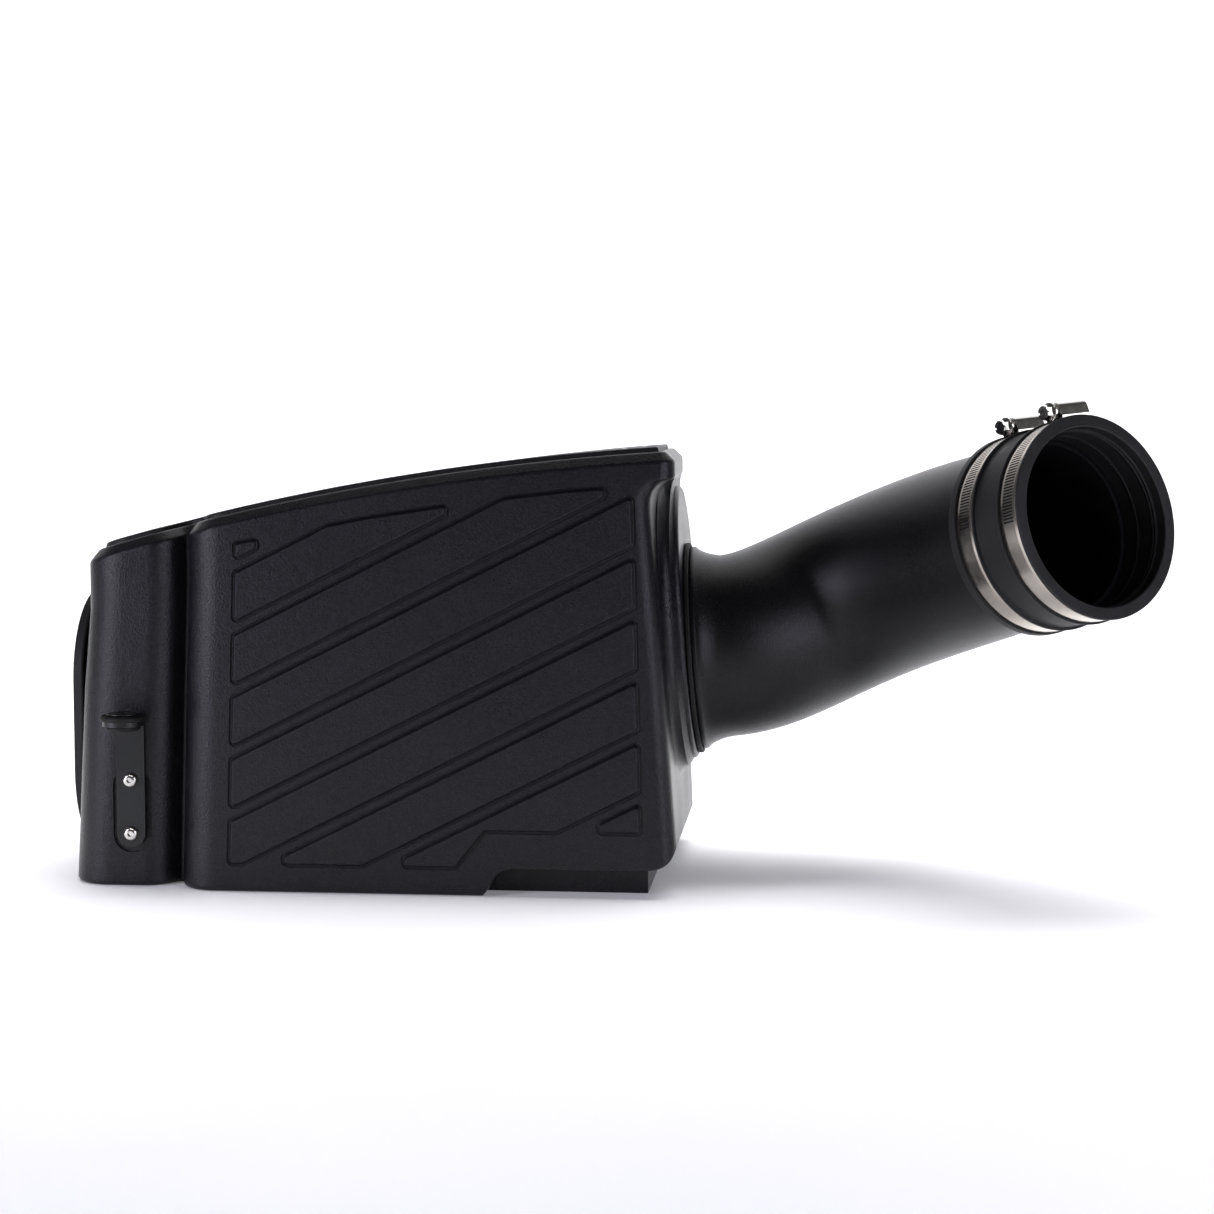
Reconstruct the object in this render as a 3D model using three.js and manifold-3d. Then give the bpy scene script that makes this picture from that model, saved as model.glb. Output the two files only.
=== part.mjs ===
// Closed-box cold-air intake: a moulded airbox with a bolted lid, a conical filter inside,
// and an S-bent intake tube that ends in a rubber coupler with two worm-drive clamps.
// Millimetres, +X towards the tube, -Y towards the patterned front face, +Z up.
// The origin is the middle of the box's flat underside.
import * as THREE from 'three';
import { mergeVertices } from 'three/addons/utils/BufferGeometryUtils.js';
import Module from 'manifold-3d';

const wasm = await Module();
wasm.setup();

// ---------- driving dimensions ----------
const GAP = 0.3;                 // clearance between touching pieces
const WALL = 3.5;                // airbox wall

const FRONT = -110;              // main front face
const BACK = 110;
const COLUMN_FRONT = -98;        // face of the set-back column that carries the bracket
const COLUMN_LEFT = -202;        // outline at floor level, before draft
const COLUMN_RIGHT = -146;
const VALLEY_LEFT = -134;        // the groove between the column and the main body
const MAIN_LEFT = -131;
const VALLEY_FLOOR = -83.5;
const RIGHT_FRONT = 177.2;
const RIGHT_BACK = 174;
const RIM_RIGHT = 174;           // the rim overhangs the drafted right wall at the front
const RIM_RIGHT_BACK = 165;      // and meets it at the back
const LEFT_DRAFT = 0.0535;
const GROOVE_DRAFT = 0.03;
const RIGHT_FRONT_DRAFT = 0.0734;
const RIGHT_BACK_DRAFT = 0.0375;
const LEFT_RIM_HEIGHT = 205;
const RIGHT_RIM_HEIGHT = 250;
const FOOT_FILLET = 3;
const RIM_CHAMFER = 6;

const CROWN_RADIUS = 1600;       // the top is an arc about a long axis along Y
const CROWN_X = 265;
const CROWN_Z = 270.5;

const RIM_LIP = 9.7;             // width of the raised lip round the lid
const LID_INSET = 10;
const LID_PROUD = 3;
const LID_UNDERSIDE = -2;        // from the crown
const SEAT = -4.5;               // gasket seat, from the crown
const FLANGE_UNDERSIDE = -12;
const LID_SCREWS = [
  [-72, -89.5], [36, -89.5], [144, -89.5], [149, 0],
  [142, 89.5], [0, 89.5], [-152, 89.5], [-169, -8],
];

const PORT = new THREE.Vector3(178.8, -10, 142);
const PORT_TILT = 0.0733;
const SPIGOT_RADIUS = 57.5;
const SPIGOT_END = -48;
const TUBE_LEAD = 20;            // straight before the bend
const LIP_START = 3.5;
const LIP_RADIUS = 64;
const TUBE_START_RADIUS = 57.4;
const TUBE_END_RADIUS = 53.5;
const TUBE_WALL = 3.8;

const COUPLER_FACE = new THREE.Vector3(417.5, -131.5, 231.1);
const COUPLER_AZIMUTH = THREE.MathUtils.degToRad(37.6);
const COUPLER_RISE = THREE.MathUtils.degToRad(13);
const COUPLER_LENGTH = 60;
const COUPLER_RIB = 60;          // outer radius of the ribs
const COUPLER_BODY = 57.8;
const TUBE_STOP = 34;            // depth at which the tube's end rests in the coupler

const BAND_THICKNESS = 0.8;
const BAND_WIDTH = 14.2;
const WORM_RADIUS = 3.5;
const WORM_HEIGHT = 5.2;         // worm axis above the band
const WORM_TAIL = 15.2;          // from the middle of the clamp to the worm's plain end
const HOUSING_HEAD = 8.5;
const HOUSING_TAIL = 13;
const CLAMP_TURN = 0.08;         // from the top of the hose

const FILTER_BASE = -57;         // along the port axis
const FILTER_END = -222;
const PLEATS = 48;
const PLEAT_DEPTH = 14;
const PLEAT_SKIN = 3;
const MEDIA_BASE_RADIUS = 78;
const MEDIA_END_RADIUS = 62;

const BRACKET_X = -160;
const BRACKET_SCREW_HEIGHTS = [66.3, 33.3];
const STRAP_LOW = 25;
const STRAP_WIDTH = 17.5;
const STRAP_THICKNESS = 3;
const TAB_Z = 104.5;
const TAB_RADIUS = 12;
const GROMMET_REACH = 17;        // grommet axis in front of the column face

const INLET_Z = 93;
const INLET_HALF_WIDTH = 55;
const INLET_HALF_HEIGHT = 81;
const INLET_END = -203.4;

const STRIP_SLOPE = 0.505;
const STRIP_PITCH = 37.2;
const STRIP_HEIGHT = 28.7;
const STRIP_PROUD = 2;
const STRIP_COUNT = 9;
const STRIP_TIP = 4.6;           // blunt height of a strip's pointed end
const NOTCH_DEPTH = 20;
const NOTCH_TOP = 17;

// ---------- materials ----------
function finish(color, roughness, metalness = 0) {
  return new THREE.MeshStandardMaterial({ color, roughness, metalness });
}

const boxPlastic = finish(0x1c1c21, 0.5);
const lidPlastic = finish(0x1f1d20, 0.55);
const tubePlastic = finish(0x131316, 0.45);
const rubber = finish(0x0e0e0f, 0.75);
const couplerRubber = finish(0x232325, 0.7);
const darkSteel = finish(0x1b1b1d, 0.35, 0.6);
const stainless = finish(0xb9b4ab, 0.25, 1);
const chrome = finish(0xd4d4d4, 0.12, 1);
const brass = finish(0xb08d4a, 0.35, 1);
const filterCloth = finish(0x27456e, 0.9);
const urethane = finish(0x17171a, 0.65);
const wire = finish(0x8d8f91, 0.4, 1);

// ---------- outlines ----------
// Points round a closed outline whose [x, y, radius] corners run counterclockwise.
function roundedOutline(corners, steps = 4) {
  const points = [];
  corners.forEach(([x, y, radius], i) => {
    const corner = new THREE.Vector2(x, y);
    const [px, py] = corners.at(i - 1);
    const [nx, ny] = corners[(i + 1) % corners.length];
    const back = new THREE.Vector2(px, py).sub(corner).normalize();
    const ahead = new THREE.Vector2(nx, ny).sub(corner).normalize();
    const half = Math.acos(THREE.MathUtils.clamp(back.dot(ahead), -1, 1)) / 2;
    if (Math.PI / 2 - half < 0.002) return;
    const reach = radius / Math.tan(half);
    const middle = back.clone().add(ahead).normalize();
    const centre = corner.clone().addScaledVector(middle, radius / Math.sin(half));
    const start = corner.clone().addScaledVector(back, reach).sub(centre).angle();
    const end = corner.clone().addScaledVector(ahead, reach).sub(centre).angle();
    const sweep = Math.atan2(Math.sin(end - start), Math.cos(end - start));
    for (let k = 0; k <= steps; k += 1) {
      const angle = start + (sweep * k) / steps;
      points.push(new THREE.Vector2(
        centre.x + radius * Math.cos(angle),
        centre.y + radius * Math.sin(angle),
      ));
    }
  });
  return points;
}

// The same corners moved inwards by a distance; round convex corners tighten.
function insetCorners(corners, distance) {
  return corners.map(([x, y, radius], i) => {
    const [px, py] = corners.at(i - 1);
    const [nx, ny] = corners[(i + 1) % corners.length];
    const arriving = new THREE.Vector2(x - px, y - py).normalize();
    const leaving = new THREE.Vector2(nx - x, ny - y).normalize();
    const inA = new THREE.Vector2(-arriving.y, arriving.x);
    const inB = new THREE.Vector2(-leaving.y, leaving.x);
    const shift = inA.clone().add(inB).multiplyScalar(distance / (1 + inA.dot(inB)));
    const convex = arriving.cross(leaving) > 0;
    const tightened = convex ? Math.max(radius - distance, 0.8) : radius + distance;
    return [x + shift.x, y + shift.y, tightened];
  });
}

function rectangleCorners(x0, y0, x1, y1, radius) {
  return [[x0, y0, radius], [x1, y0, radius], [x1, y1, radius], [x0, y1, radius]];
}

function circleOutline(radius, segments) {
  const step = (2 * Math.PI) / segments;
  return Array.from({ length: segments }, (_, k) => new THREE.Vector2(
    radius * Math.cos(k * step),
    radius * Math.sin(k * step),
  ));
}

// ---------- solids ----------
// A closed skin over rings with equal point counts, capped unless it closes on itself.
function skin(rings, closed = false) {
  const count = rings[0].length;
  const positions = rings.flat().flatMap((p) => [p.x, p.y, p.z]);
  const index = [];
  const last = closed ? rings.length : rings.length - 1;
  for (let r = 0; r < last; r += 1) {
    const next = (r + 1) % rings.length;
    for (let k = 0; k < count; k += 1) {
      const a = r * count + k;
      const b = r * count + ((k + 1) % count);
      const c = next * count + k;
      const d = next * count + ((k + 1) % count);
      index.push(a, b, d, a, d, c);
    }
  }
  if (!closed) {
    index.push(...capFaces(rings[0], 0, true));
    index.push(...capFaces(rings.at(-1), (rings.length - 1) * count, false));
  }
  const geometry = new THREE.BufferGeometry();
  geometry.setAttribute('position', new THREE.Float32BufferAttribute(positions, 3));
  geometry.setIndex(signedVolume(positions, index) < 0 ? index.reverse() : index);
  return geometry;
}

function capFaces(ring, offset, flip) {
  const normal = new THREE.Vector3();
  ring.forEach((p, i) => normal.add(p.clone().cross(ring[(i + 1) % ring.length])));
  normal.normalize();
  const helper = Math.abs(normal.z) > 0.9 ? new THREE.Vector3(1, 0, 0) : new THREE.Vector3(0, 0, 1);
  const u = helper.cross(normal).normalize();
  const v = normal.clone().cross(u);
  const flat = ring.map((p) => new THREE.Vector2(p.dot(u), p.dot(v)));
  return THREE.ShapeUtils.triangulateShape(flat, []).flatMap(([a, b, c]) => (
    flip ? [a + offset, c + offset, b + offset] : [a + offset, b + offset, c + offset]
  ));
}

function signedVolume(positions, index) {
  const at = (i) => new THREE.Vector3().fromArray(positions, 3 * index[i]);
  let volume = 0;
  for (let i = 0; i < index.length; i += 3) {
    volume += at(i).dot(at(i + 1).cross(at(i + 2)));
  }
  return volume;
}

function solid(geometry) {
  const bare = geometry.index ? geometry.clone() : geometry;
  bare.deleteAttribute('normal');
  bare.deleteAttribute('uv');
  const merged = mergeVertices(bare, 1e-4);
  return new wasm.Manifold(new wasm.Mesh({
    numProp: 3,
    vertProperties: new Float32Array(merged.attributes.position.array),
    triVerts: new Uint32Array(merged.index.array),
  }));
}

function geometryOf(manifold) {
  const mesh = manifold.getMesh();
  const geometry = new THREE.BufferGeometry();
  geometry.setAttribute('position', new THREE.BufferAttribute(mesh.vertProperties, 3));
  geometry.setIndex(new THREE.BufferAttribute(mesh.triVerts, 1));
  return geometry;
}

function united(pieces) {
  return pieces.reduce((whole, piece) => whole.add(piece));
}

// A prism of an outline in XY, from z0 up to z1.
function prism(outline, z0, z1) {
  const geometry = new THREE.ExtrudeGeometry(new THREE.Shape(outline), {
    depth: z1 - z0,
    bevelEnabled: false,
    steps: 1,
  });
  return geometry.translate(0, 0, z0);
}

// A prism of an outline in XZ, from y0 to y1.
function frontPrism(outline, y0, y1) {
  return prism(outline, -y1, -y0).rotateX(Math.PI / 2);
}

// A turned piece: [radius, height] points about +Z.
function turned(profile, segments = 40) {
  const points = profile.map(([radius, height]) => new THREE.Vector2(radius, height));
  const onAxis = profile[0][0] === 0 && profile.at(-1)[0] === 0;
  if (!onAxis) points.push(points[0].clone());
  const lathe = new THREE.LatheGeometry(points, segments).rotateX(Math.PI / 2);
  lathe.deleteAttribute('normal');
  lathe.deleteAttribute('uv');
  const merged = mergeVertices(lathe, 1e-4);
  const kept = [];
  const { array } = merged.index;
  for (let i = 0; i < array.length; i += 3) {
    const [a, b, c] = [array[i], array[i + 1], array[i + 2]];
    if (a !== b && b !== c && a !== c) kept.push(a, b, c);
  }
  const upright = signedVolume(merged.attributes.position.array, kept) > 0;
  merged.setIndex(upright ? kept : kept.reverse());
  return merged;
}

function rod(radius, z0, z1, segments = 14) {
  return turned([[0, z0], [radius, z0], [radius, z1], [0, z1]], segments);
}

// Frame at an origin: +Z along the axis, +X as close to upwards as it can be.
function axisFrame(origin, axis, up = new THREE.Vector3(0, 0, 1)) {
  const z = axis.clone().normalize();
  const x = up.clone().addScaledVector(z, -up.dot(z)).normalize();
  const y = z.clone().cross(x);
  return new THREE.Matrix4().makeBasis(x, y, z).setPosition(origin);
}

const object = new THREE.Group();

function addPiece(name, geometry, material, parent = object) {
  const shown = geometry.index ? geometry.toNonIndexed() : geometry;
  shown.computeVertexNormals();
  const mesh = new THREE.Mesh(shown, material);
  mesh.name = name;
  parent.add(mesh);
  return mesh;
}

function frameGroup(matrix, parent = object) {
  const group = new THREE.Group();
  group.applyMatrix4(matrix);
  parent.add(group);
  return group;
}

// ---------- airbox outline and crown ----------
function crown(x) {
  return CROWN_Z - CROWN_RADIUS + Math.sqrt(CROWN_RADIUS ** 2 - (x - CROWN_X) ** 2);
}

// Everything below the crown, moved up or down by an offset.
function belowCrown(offset) {
  const outline = [new THREE.Vector2(-260, -50), new THREE.Vector2(260, -50)];
  for (let x = 260; x >= -260; x -= 13) {
    outline.push(new THREE.Vector2(x, crown(x) + offset));
  }
  return solid(frontPrism(outline, -200, 200));
}

// Plan of the box where its left and right sides have risen this far.
function boxCorners(leftRise, rightRise, overhang = 0) {
  const left = LEFT_DRAFT * leftRise;
  const groove = GROOVE_DRAFT * leftRise;
  const front = RIGHT_FRONT - RIGHT_FRONT_DRAFT * rightRise;
  const back = RIGHT_BACK - RIGHT_BACK_DRAFT * rightRise;
  return [
    [COLUMN_LEFT + left, COLUMN_FRONT, 26],
    [COLUMN_RIGHT + groove, COLUMN_FRONT, 18],
    [VALLEY_LEFT + groove, VALLEY_FLOOR, 2],
    [MAIN_LEFT + groove, VALLEY_FLOOR, 1.5],
    [MAIN_LEFT + groove, FRONT, 24],
    [front + (RIM_RIGHT - front) * overhang, FRONT, 10],
    [back + (RIM_RIGHT_BACK - back) * overhang, BACK, 22],
    [COLUMN_LEFT + left, BACK, 24],
  ];
}

const rimCorners = boxCorners(LEFT_RIM_HEIGHT, RIGHT_RIM_HEIGHT, 1);

// A ring of the box at a fixed height, or at a drop below the crown.
function boxRing({ height, drop, inset = 0, overhang = 0 }) {
  const rise = height ?? RIGHT_RIM_HEIGHT;
  const leftRise = Math.min(rise, LEFT_RIM_HEIGHT);
  const corners = insetCorners(boxCorners(leftRise, rise, overhang), inset);
  return roundedOutline(corners).map(({ x, y }) => (
    new THREE.Vector3(x, y, drop === undefined ? height : crown(x) - drop)
  ));
}

// The fillet under the rim, then the rim, its chamfer and some height to trim off.
function outerShell() {
  const filletDrop = (k) => 32 - 15 * Math.sin((k * Math.PI) / 8);
  const filletReach = (k) => 1 - Math.cos((k * Math.PI) / 8);
  const rings = [
    boxRing({ height: 0, inset: FOOT_FILLET }),
    boxRing({ height: FOOT_FILLET * 0.3, inset: FOOT_FILLET * 0.3 }),
    boxRing({ height: FOOT_FILLET }),
    boxRing({ drop: 36 }),
  ];
  for (let k = 0; k <= 4; k += 1) {
    rings.push(boxRing({ drop: filletDrop(k), overhang: filletReach(k) }));
  }
  rings.push(boxRing({ drop: RIM_CHAMFER, overhang: 1 }));
  rings.push(boxRing({ drop: 0, overhang: 1, inset: RIM_CHAMFER }));
  rings.push(boxRing({ drop: -25, overhang: 1, inset: RIM_CHAMFER }));
  return solid(skin(rings)).intersect(belowCrown(0));
}

function cavity() {
  const rings = [
    boxRing({ height: WALL, inset: WALL + 2 }),
    boxRing({ height: WALL + 2, inset: WALL }),
    boxRing({ drop: 36, inset: WALL }),
    boxRing({ drop: -25, inset: WALL }),
  ];
  return solid(skin(rings)).intersect(belowCrown(FLANGE_UNDERSIDE));
}

function openingOutline() {
  return roundedOutline([
    [-172, -50, 12], [-97, -50, 12], [-97, -83, 12], [146, -83, 16], [146, 83, 16], [-172, 83, 16],
  ]);
}

// ---------- port, inlet and notch ----------
const portFrame = axisFrame(
  PORT,
  new THREE.Vector3(Math.cos(PORT_TILT), 0, Math.sin(PORT_TILT)),
);

// Raised boss round the port; x of its plan is upwards and y is towards the front.
function portBoss(inset) {
  const ring = (grow, depth) => roundedOutline(
    insetCorners(rectangleCorners(-69, -70, 103, 70, 66), inset - grow),
    6,
  ).map(({ x, y }) => new THREE.Vector3(x, y, depth - inset));
  const rings = [ring(12, -22), ring(10, -9), ring(4.5, -1.5), ring(0, 0)];
  return solid(skin(rings).applyMatrix4(portFrame));
}

function inletRing(grow, x) {
  const corners = rectangleCorners(
    -INLET_HALF_WIDTH,
    INLET_Z - INLET_HALF_HEIGHT,
    INLET_HALF_WIDTH,
    INLET_Z + INLET_HALF_HEIGHT,
    INLET_HALF_WIDTH - 3,
  );
  return roundedOutline(insetCorners(corners, -grow), 5)
    .map((p) => new THREE.Vector3(x, p.x, p.y));
}

// Relief under the front right: an S-shaped step with a slanted right end.
function notch() {
  const curve = new THREE.CubicBezierCurve(
    new THREE.Vector2(56, -1),
    new THREE.Vector2(66, 3),
    new THREE.Vector2(60, NOTCH_TOP),
    new THREE.Vector2(80, NOTCH_TOP),
  );
  const outline = [
    ...curve.getPoints(8),
    new THREE.Vector2(230, NOTCH_TOP),
    new THREE.Vector2(230, -1),
  ].reverse();
  const step = frontPrism(outline, FRONT - 10, FRONT + NOTCH_DEPTH);
  const shoulder = new THREE.QuadraticBezierCurve(
    new THREE.Vector2(175.5, 36),
    new THREE.Vector2(174.5, NOTCH_TOP),
    new THREE.Vector2(157, NOTCH_TOP),
  );
  const slant = [
    new THREE.Vector2(157, -1),
    new THREE.Vector2(230, -1),
    new THREE.Vector2(230, 36),
    ...shoulder.getPoints(6),
  ];
  return solid(step).add(solid(frontPrism(slant, FRONT - 10, BACK + 10)));
}

// Room for the notch inside the cavity, one wall away from it.
function notchCover() {
  const cover = rectangleCorners(50, -5, 260, NOTCH_TOP + WALL, 1);
  const behind = [
    [142, -5, 1], [260, -5, 1], [260, 46, 1], [169.5, 46, 4], [165, 27, 8],
    [153, NOTCH_TOP + WALL, 3], [142, NOTCH_TOP + WALL, 1],
  ];
  return solid(frontPrism(roundedOutline(cover, 1), FRONT - 10, FRONT + NOTCH_DEPTH + WALL))
    .add(solid(frontPrism(roundedOutline(behind, 2), FRONT - 10, BACK + 10)));
}

// ---------- slanted strips on the front ----------
// The part of a polygon on the left of the line from a to b.
function clipped(polygon, a, b) {
  const side = ([x, z]) => (b[0] - a[0]) * (z - a[1]) - (b[1] - a[1]) * (x - a[0]);
  const kept = [];
  polygon.forEach((p, i) => {
    const q = polygon[(i + 1) % polygon.length];
    const [s, t] = [side(p), side(q)];
    if (s >= 0) kept.push(p);
    if ((s > 0 && t < 0) || (s < 0 && t > 0)) {
      const f = s / (s - t);
      kept.push([p[0] + f * (q[0] - p[0]), p[1] + f * (q[1] - p[1])]);
    }
  });
  return kept;
}

const STRIP_FIELD = { left: -96.6, right: 154.5, low: 17.8, step: 40.3, topMargin: 19.5 };

function stripTop(k, x) {
  return 230.7 - STRIP_PITCH * k + STRIP_SLOPE * (x + 92);
}

function stripCorners(k) {
  const { left, right, low, step, topMargin } = STRIP_FIELD;
  const floor = k === STRIP_COUNT - 1 ? step : low;
  const limit = (x) => crown(x) - topMargin;
  const bottom = (x) => stripTop(k, x) - STRIP_HEIGHT;
  let outline = [
    [-200, bottom(-200)], [300, bottom(300)], [300, stripTop(k, 300)], [-200, stripTop(k, -200)],
  ];
  outline = clipped(outline, [left + GROOVE_DRAFT * 250, 250], [left, 0]);
  outline = clipped(outline, [right, 0], [right - 0.0265 * 250, 250]);
  outline = clipped(outline, [0, floor], [1, floor]);
  for (let x = 140; x > -100; x -= 60) {
    outline = clipped(outline, [x + 1, limit(x + 1)], [x, limit(x)]);
  }
  let tip = 200;
  while (limit(tip) - bottom(tip) < STRIP_TIP && tip > -100) tip -= 0.5;
  outline = clipped(outline, [tip, 0], [tip, 250]);
  const tail = (floor + STRIP_TIP - stripTop(k, 0)) / STRIP_SLOPE;
  outline = clipped(outline, [tail, 250], [tail, 0]);
  if (k === STRIP_COUNT - 2) outline = steppedAlongNotch(outline, bottom);
  return outline.map(([x, z]) => [x, z, 1.5]);
}

// The strip above the notch keeps clear of it with a step in its lower edge.
function steppedAlongNotch(outline, bottom) {
  const { low, step } = STRIP_FIELD;
  const corner = outline.findIndex(([x, z]) => Math.abs(z - low) < 0.01 && x > 40);
  const meet = (step - bottom(0)) / STRIP_SLOPE;
  return outline.toSpliced(corner, 1, [42, low], [60, step], [meet, step]);
}

function strips() {
  return Array.from({ length: STRIP_COUNT }, (_, k) => (
    solid(frontPrism(roundedOutline(stripCorners(k), 2), FRONT - STRIP_PROUD, FRONT + 1))
  ));
}

// ---------- screw seats ----------
function lidBosses() {
  return LID_SCREWS.map(([x, y]) => (
    solid(rod(6.5, crown(x) - 19, crown(x) - 8).translate(x, y, 0))
  ));
}

function lidInsertHoles() {
  return LID_SCREWS.map(([x, y]) => (
    solid(rod(3.7, crown(x) - 16.5, crown(x)).translate(x, y, 0))
  ));
}

// A cylinder along Y, standing on the column's face.
function columnRod(radius, y0, y1, z, segments = 14) {
  return rod(radius, -y1, -y0, segments).rotateX(Math.PI / 2).translate(BRACKET_X, 0, z);
}

function strapRecess() {
  const corners = rectangleCorners(BRACKET_X - 12, 21, BRACKET_X + 12, 73, 11);
  return solid(frontPrism(roundedOutline(corners), COLUMN_FRONT - 5, COLUMN_FRONT + 1));
}

// ---------- airbox ----------
function makeBox() {
  const opening = solid(prism(openingOutline(), 150, 300));
  const lidPocket = solid(prism(roundedOutline(insetCorners(rimCorners, RIM_LIP)), 150, 300))
    .subtract(belowCrown(SEAT));
  const bossRods = BRACKET_SCREW_HEIGHTS.map((z) => (
    solid(columnRod(7, COLUMN_FRONT + 1, COLUMN_FRONT + 15, z))
  ));
  const insertHoles = BRACKET_SCREW_HEIGHTS.map((z) => (
    solid(columnRod(3.7, COLUMN_FRONT - 1, COLUMN_FRONT + 12.5, z))
  ));
  const collar = solid(skin([inletRing(0, -188), inletRing(0, INLET_END)]));
  const collarBore = solid(skin([inletRing(-WALL, -180), inletRing(-WALL, INLET_END - 5)]));
  const portHole = solid(rod(60, -30, 5, 48).applyMatrix4(portFrame));
  const inside = cavity().subtract(notchCover());

  const outside = outerShell().add(portBoss(0)).add(united(strips())).add(collar);
  return outside
    .subtract(inside)
    .subtract(portBoss(WALL))
    .subtract(opening)
    .subtract(lidPocket)
    .add(united([...lidBosses(), ...bossRods]))
    .subtract(united([...lidInsertHoles(), ...insertHoles]))
    .subtract(notch())
    .subtract(collarBore)
    .subtract(portHole)
    .subtract(strapRecess());
}

function makeLid() {
  const outline = roundedOutline(insetCorners(rimCorners, LID_INSET));
  const bevel = roundedOutline(insetCorners(rimCorners, LID_INSET + 1.5));
  const ring = (points, offset) => points.map(({ x, y }) => (
    new THREE.Vector3(x, y, crown(x) + offset)
  ));
  const rings = [
    outline.map(({ x, y }) => new THREE.Vector3(x, y, 100)),
    ring(outline, LID_PROUD - 1.5),
    ring(bevel, LID_PROUD),
    ring(bevel, LID_PROUD + 25),
  ];
  const slab = solid(skin(rings))
    .intersect(belowCrown(LID_PROUD))
    .subtract(belowCrown(LID_UNDERSIDE));
  const pads = LID_SCREWS.map(([x, y]) => (
    solid(rod(6, crown(x) + LID_UNDERSIDE, crown(x) + 0.2).translate(x, y, 0))
  ));
  const seats = LID_SCREWS.map(([x, y]) => (
    solid(rod(6, crown(x) + 0.2, crown(x) + 12).translate(x, y, 0))
      .add(solid(rod(2.9, crown(x) - 12, crown(x) + 12).translate(x, y, 0)))
  ));
  return slab.add(united(pads)).subtract(united(seats));
}

function makeGasket() {
  const outside = solid(prism(roundedOutline(insetCorners(rimCorners, 10.8)), 100, 300));
  const inside = solid(prism(roundedOutline(insetCorners(rimCorners, 13.8)), 90, 310));
  return outside
    .subtract(inside)
    .intersect(belowCrown(LID_UNDERSIDE - GAP))
    .subtract(belowCrown(SEAT + GAP));
}

// A button-head screw standing on z = 0, with a hexagon socket.
function buttonScrew(headRadius, headHeight, shankLength) {
  const profile = [
    [0, -shankLength], [1.8, -shankLength], [2.3, 0.6 - shankLength], [2.3, 0],
    [headRadius, 0], [headRadius, headHeight * 0.35], [headRadius * 0.8, headHeight * 0.8],
    [headRadius * 0.5, headHeight], [0, headHeight],
  ];
  const socket = new THREE.CylinderGeometry(1.75, 1.75, 3, 6).rotateX(Math.PI / 2);
  return solid(turned(profile, 14)).subtract(solid(socket.translate(0, 0, headHeight)));
}

function insert(length) {
  const profile = [[2.6, -length], [3.4, -length], [3.4, 0], [2.6, 0]];
  return turned(profile, 12);
}

function addAirbox() {
  addPiece('box_body', geometryOf(makeBox()), boxPlastic);
  addPiece('box_lid', geometryOf(makeLid()), lidPlastic);
  addPiece('lid_gasket', geometryOf(makeGasket()), rubber);
  LID_SCREWS.forEach(([x, y], i) => {
    const screw = geometryOf(buttonScrew(4.7, 2.6, 13));
    addPiece(`lid_screw_${i + 1}`, screw, chrome).position.set(x, y, crown(x) + 0.4);
    addPiece(`lid_insert_${i + 1}`, insert(9.5), brass).position.set(x, y, crown(x) - 6.6);
  });
}

// ---------- bracket ----------
function makeBracket() {
  const back = COLUMN_FRONT - GAP;
  const half = STRAP_WIDTH / 2;
  const strap = roundedOutline([
    [BRACKET_X - half, STRAP_LOW, half - 0.5],
    [BRACKET_X + half, STRAP_LOW, half - 0.5],
    [BRACKET_X + half, TAB_Z, 0.5],
    [BRACKET_X - half, TAB_Z, 0.5],
  ]);
  const reach = COLUMN_FRONT - GROMMET_REACH;
  const tab = roundedOutline([
    [BRACKET_X - TAB_RADIUS, reach - TAB_RADIUS, TAB_RADIUS - 0.5],
    [BRACKET_X + TAB_RADIUS, reach - TAB_RADIUS, TAB_RADIUS - 0.5],
    [BRACKET_X + TAB_RADIUS, reach + 6, 3],
    [BRACKET_X + half, back, 0.5],
    [BRACKET_X - half, back, 0.5],
    [BRACKET_X - TAB_RADIUS, reach + 6, 3],
  ]);
  const holes = BRACKET_SCREW_HEIGHTS.map((z) => (
    solid(columnRod(2.8, back - 10, back + 5, z))
  ));
  const eye = solid(rod(9, TAB_Z - 20, TAB_Z + 20, 32).translate(BRACKET_X, reach, 0));
  return solid(frontPrism(strap, back - STRAP_THICKNESS, back))
    .add(solid(prism(tab, TAB_Z - STRAP_THICKNESS, TAB_Z)))
    .subtract(united(holes))
    .subtract(eye);
}

function addBracket() {
  const frontFace = COLUMN_FRONT - GAP - STRAP_THICKNESS;
  addPiece('bracket', geometryOf(makeBracket()), darkSteel);
  BRACKET_SCREW_HEIGHTS.forEach((z, i) => {
    const screw = addPiece(`bracket_screw_${i + 1}`, geometryOf(buttonScrew(4.3, 2.9, 13)), chrome);
    screw.position.set(BRACKET_X, frontFace - 0.1, z);
    screw.rotation.x = Math.PI / 2;
    const nut = addPiece(`bracket_insert_${i + 1}`, insert(10.5), brass);
    nut.position.set(BRACKET_X, COLUMN_FRONT + 1.3, z);
    nut.rotation.x = Math.PI / 2;
  });
  const grommet = frameGroup(new THREE.Matrix4().setPosition(
    BRACKET_X,
    COLUMN_FRONT - GROMMET_REACH,
    TAB_Z - STRAP_THICKNESS / 2,
  ));
  const rubberProfile = [
    [5, -4.2], [9.8, -4.2], [10.6, -3.5], [10.6, -1.8], [8.7, -1.8],
    [8.7, 1.8], [13.6, 1.8], [13.6, 4], [12.6, 5], [5, 5],
  ];
  const sleeveProfile = [
    [3.4, -4.8], [4.7, -4.8], [4.7, 5.3], [9.5, 5.3], [9.5, 6.2], [3.4, 6.2],
  ];
  addPiece('bracket_grommet', turned(rubberProfile, 24), rubber, grommet);
  addPiece('grommet_sleeve', turned(sleeveProfile, 20), stainless, grommet);
}

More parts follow.
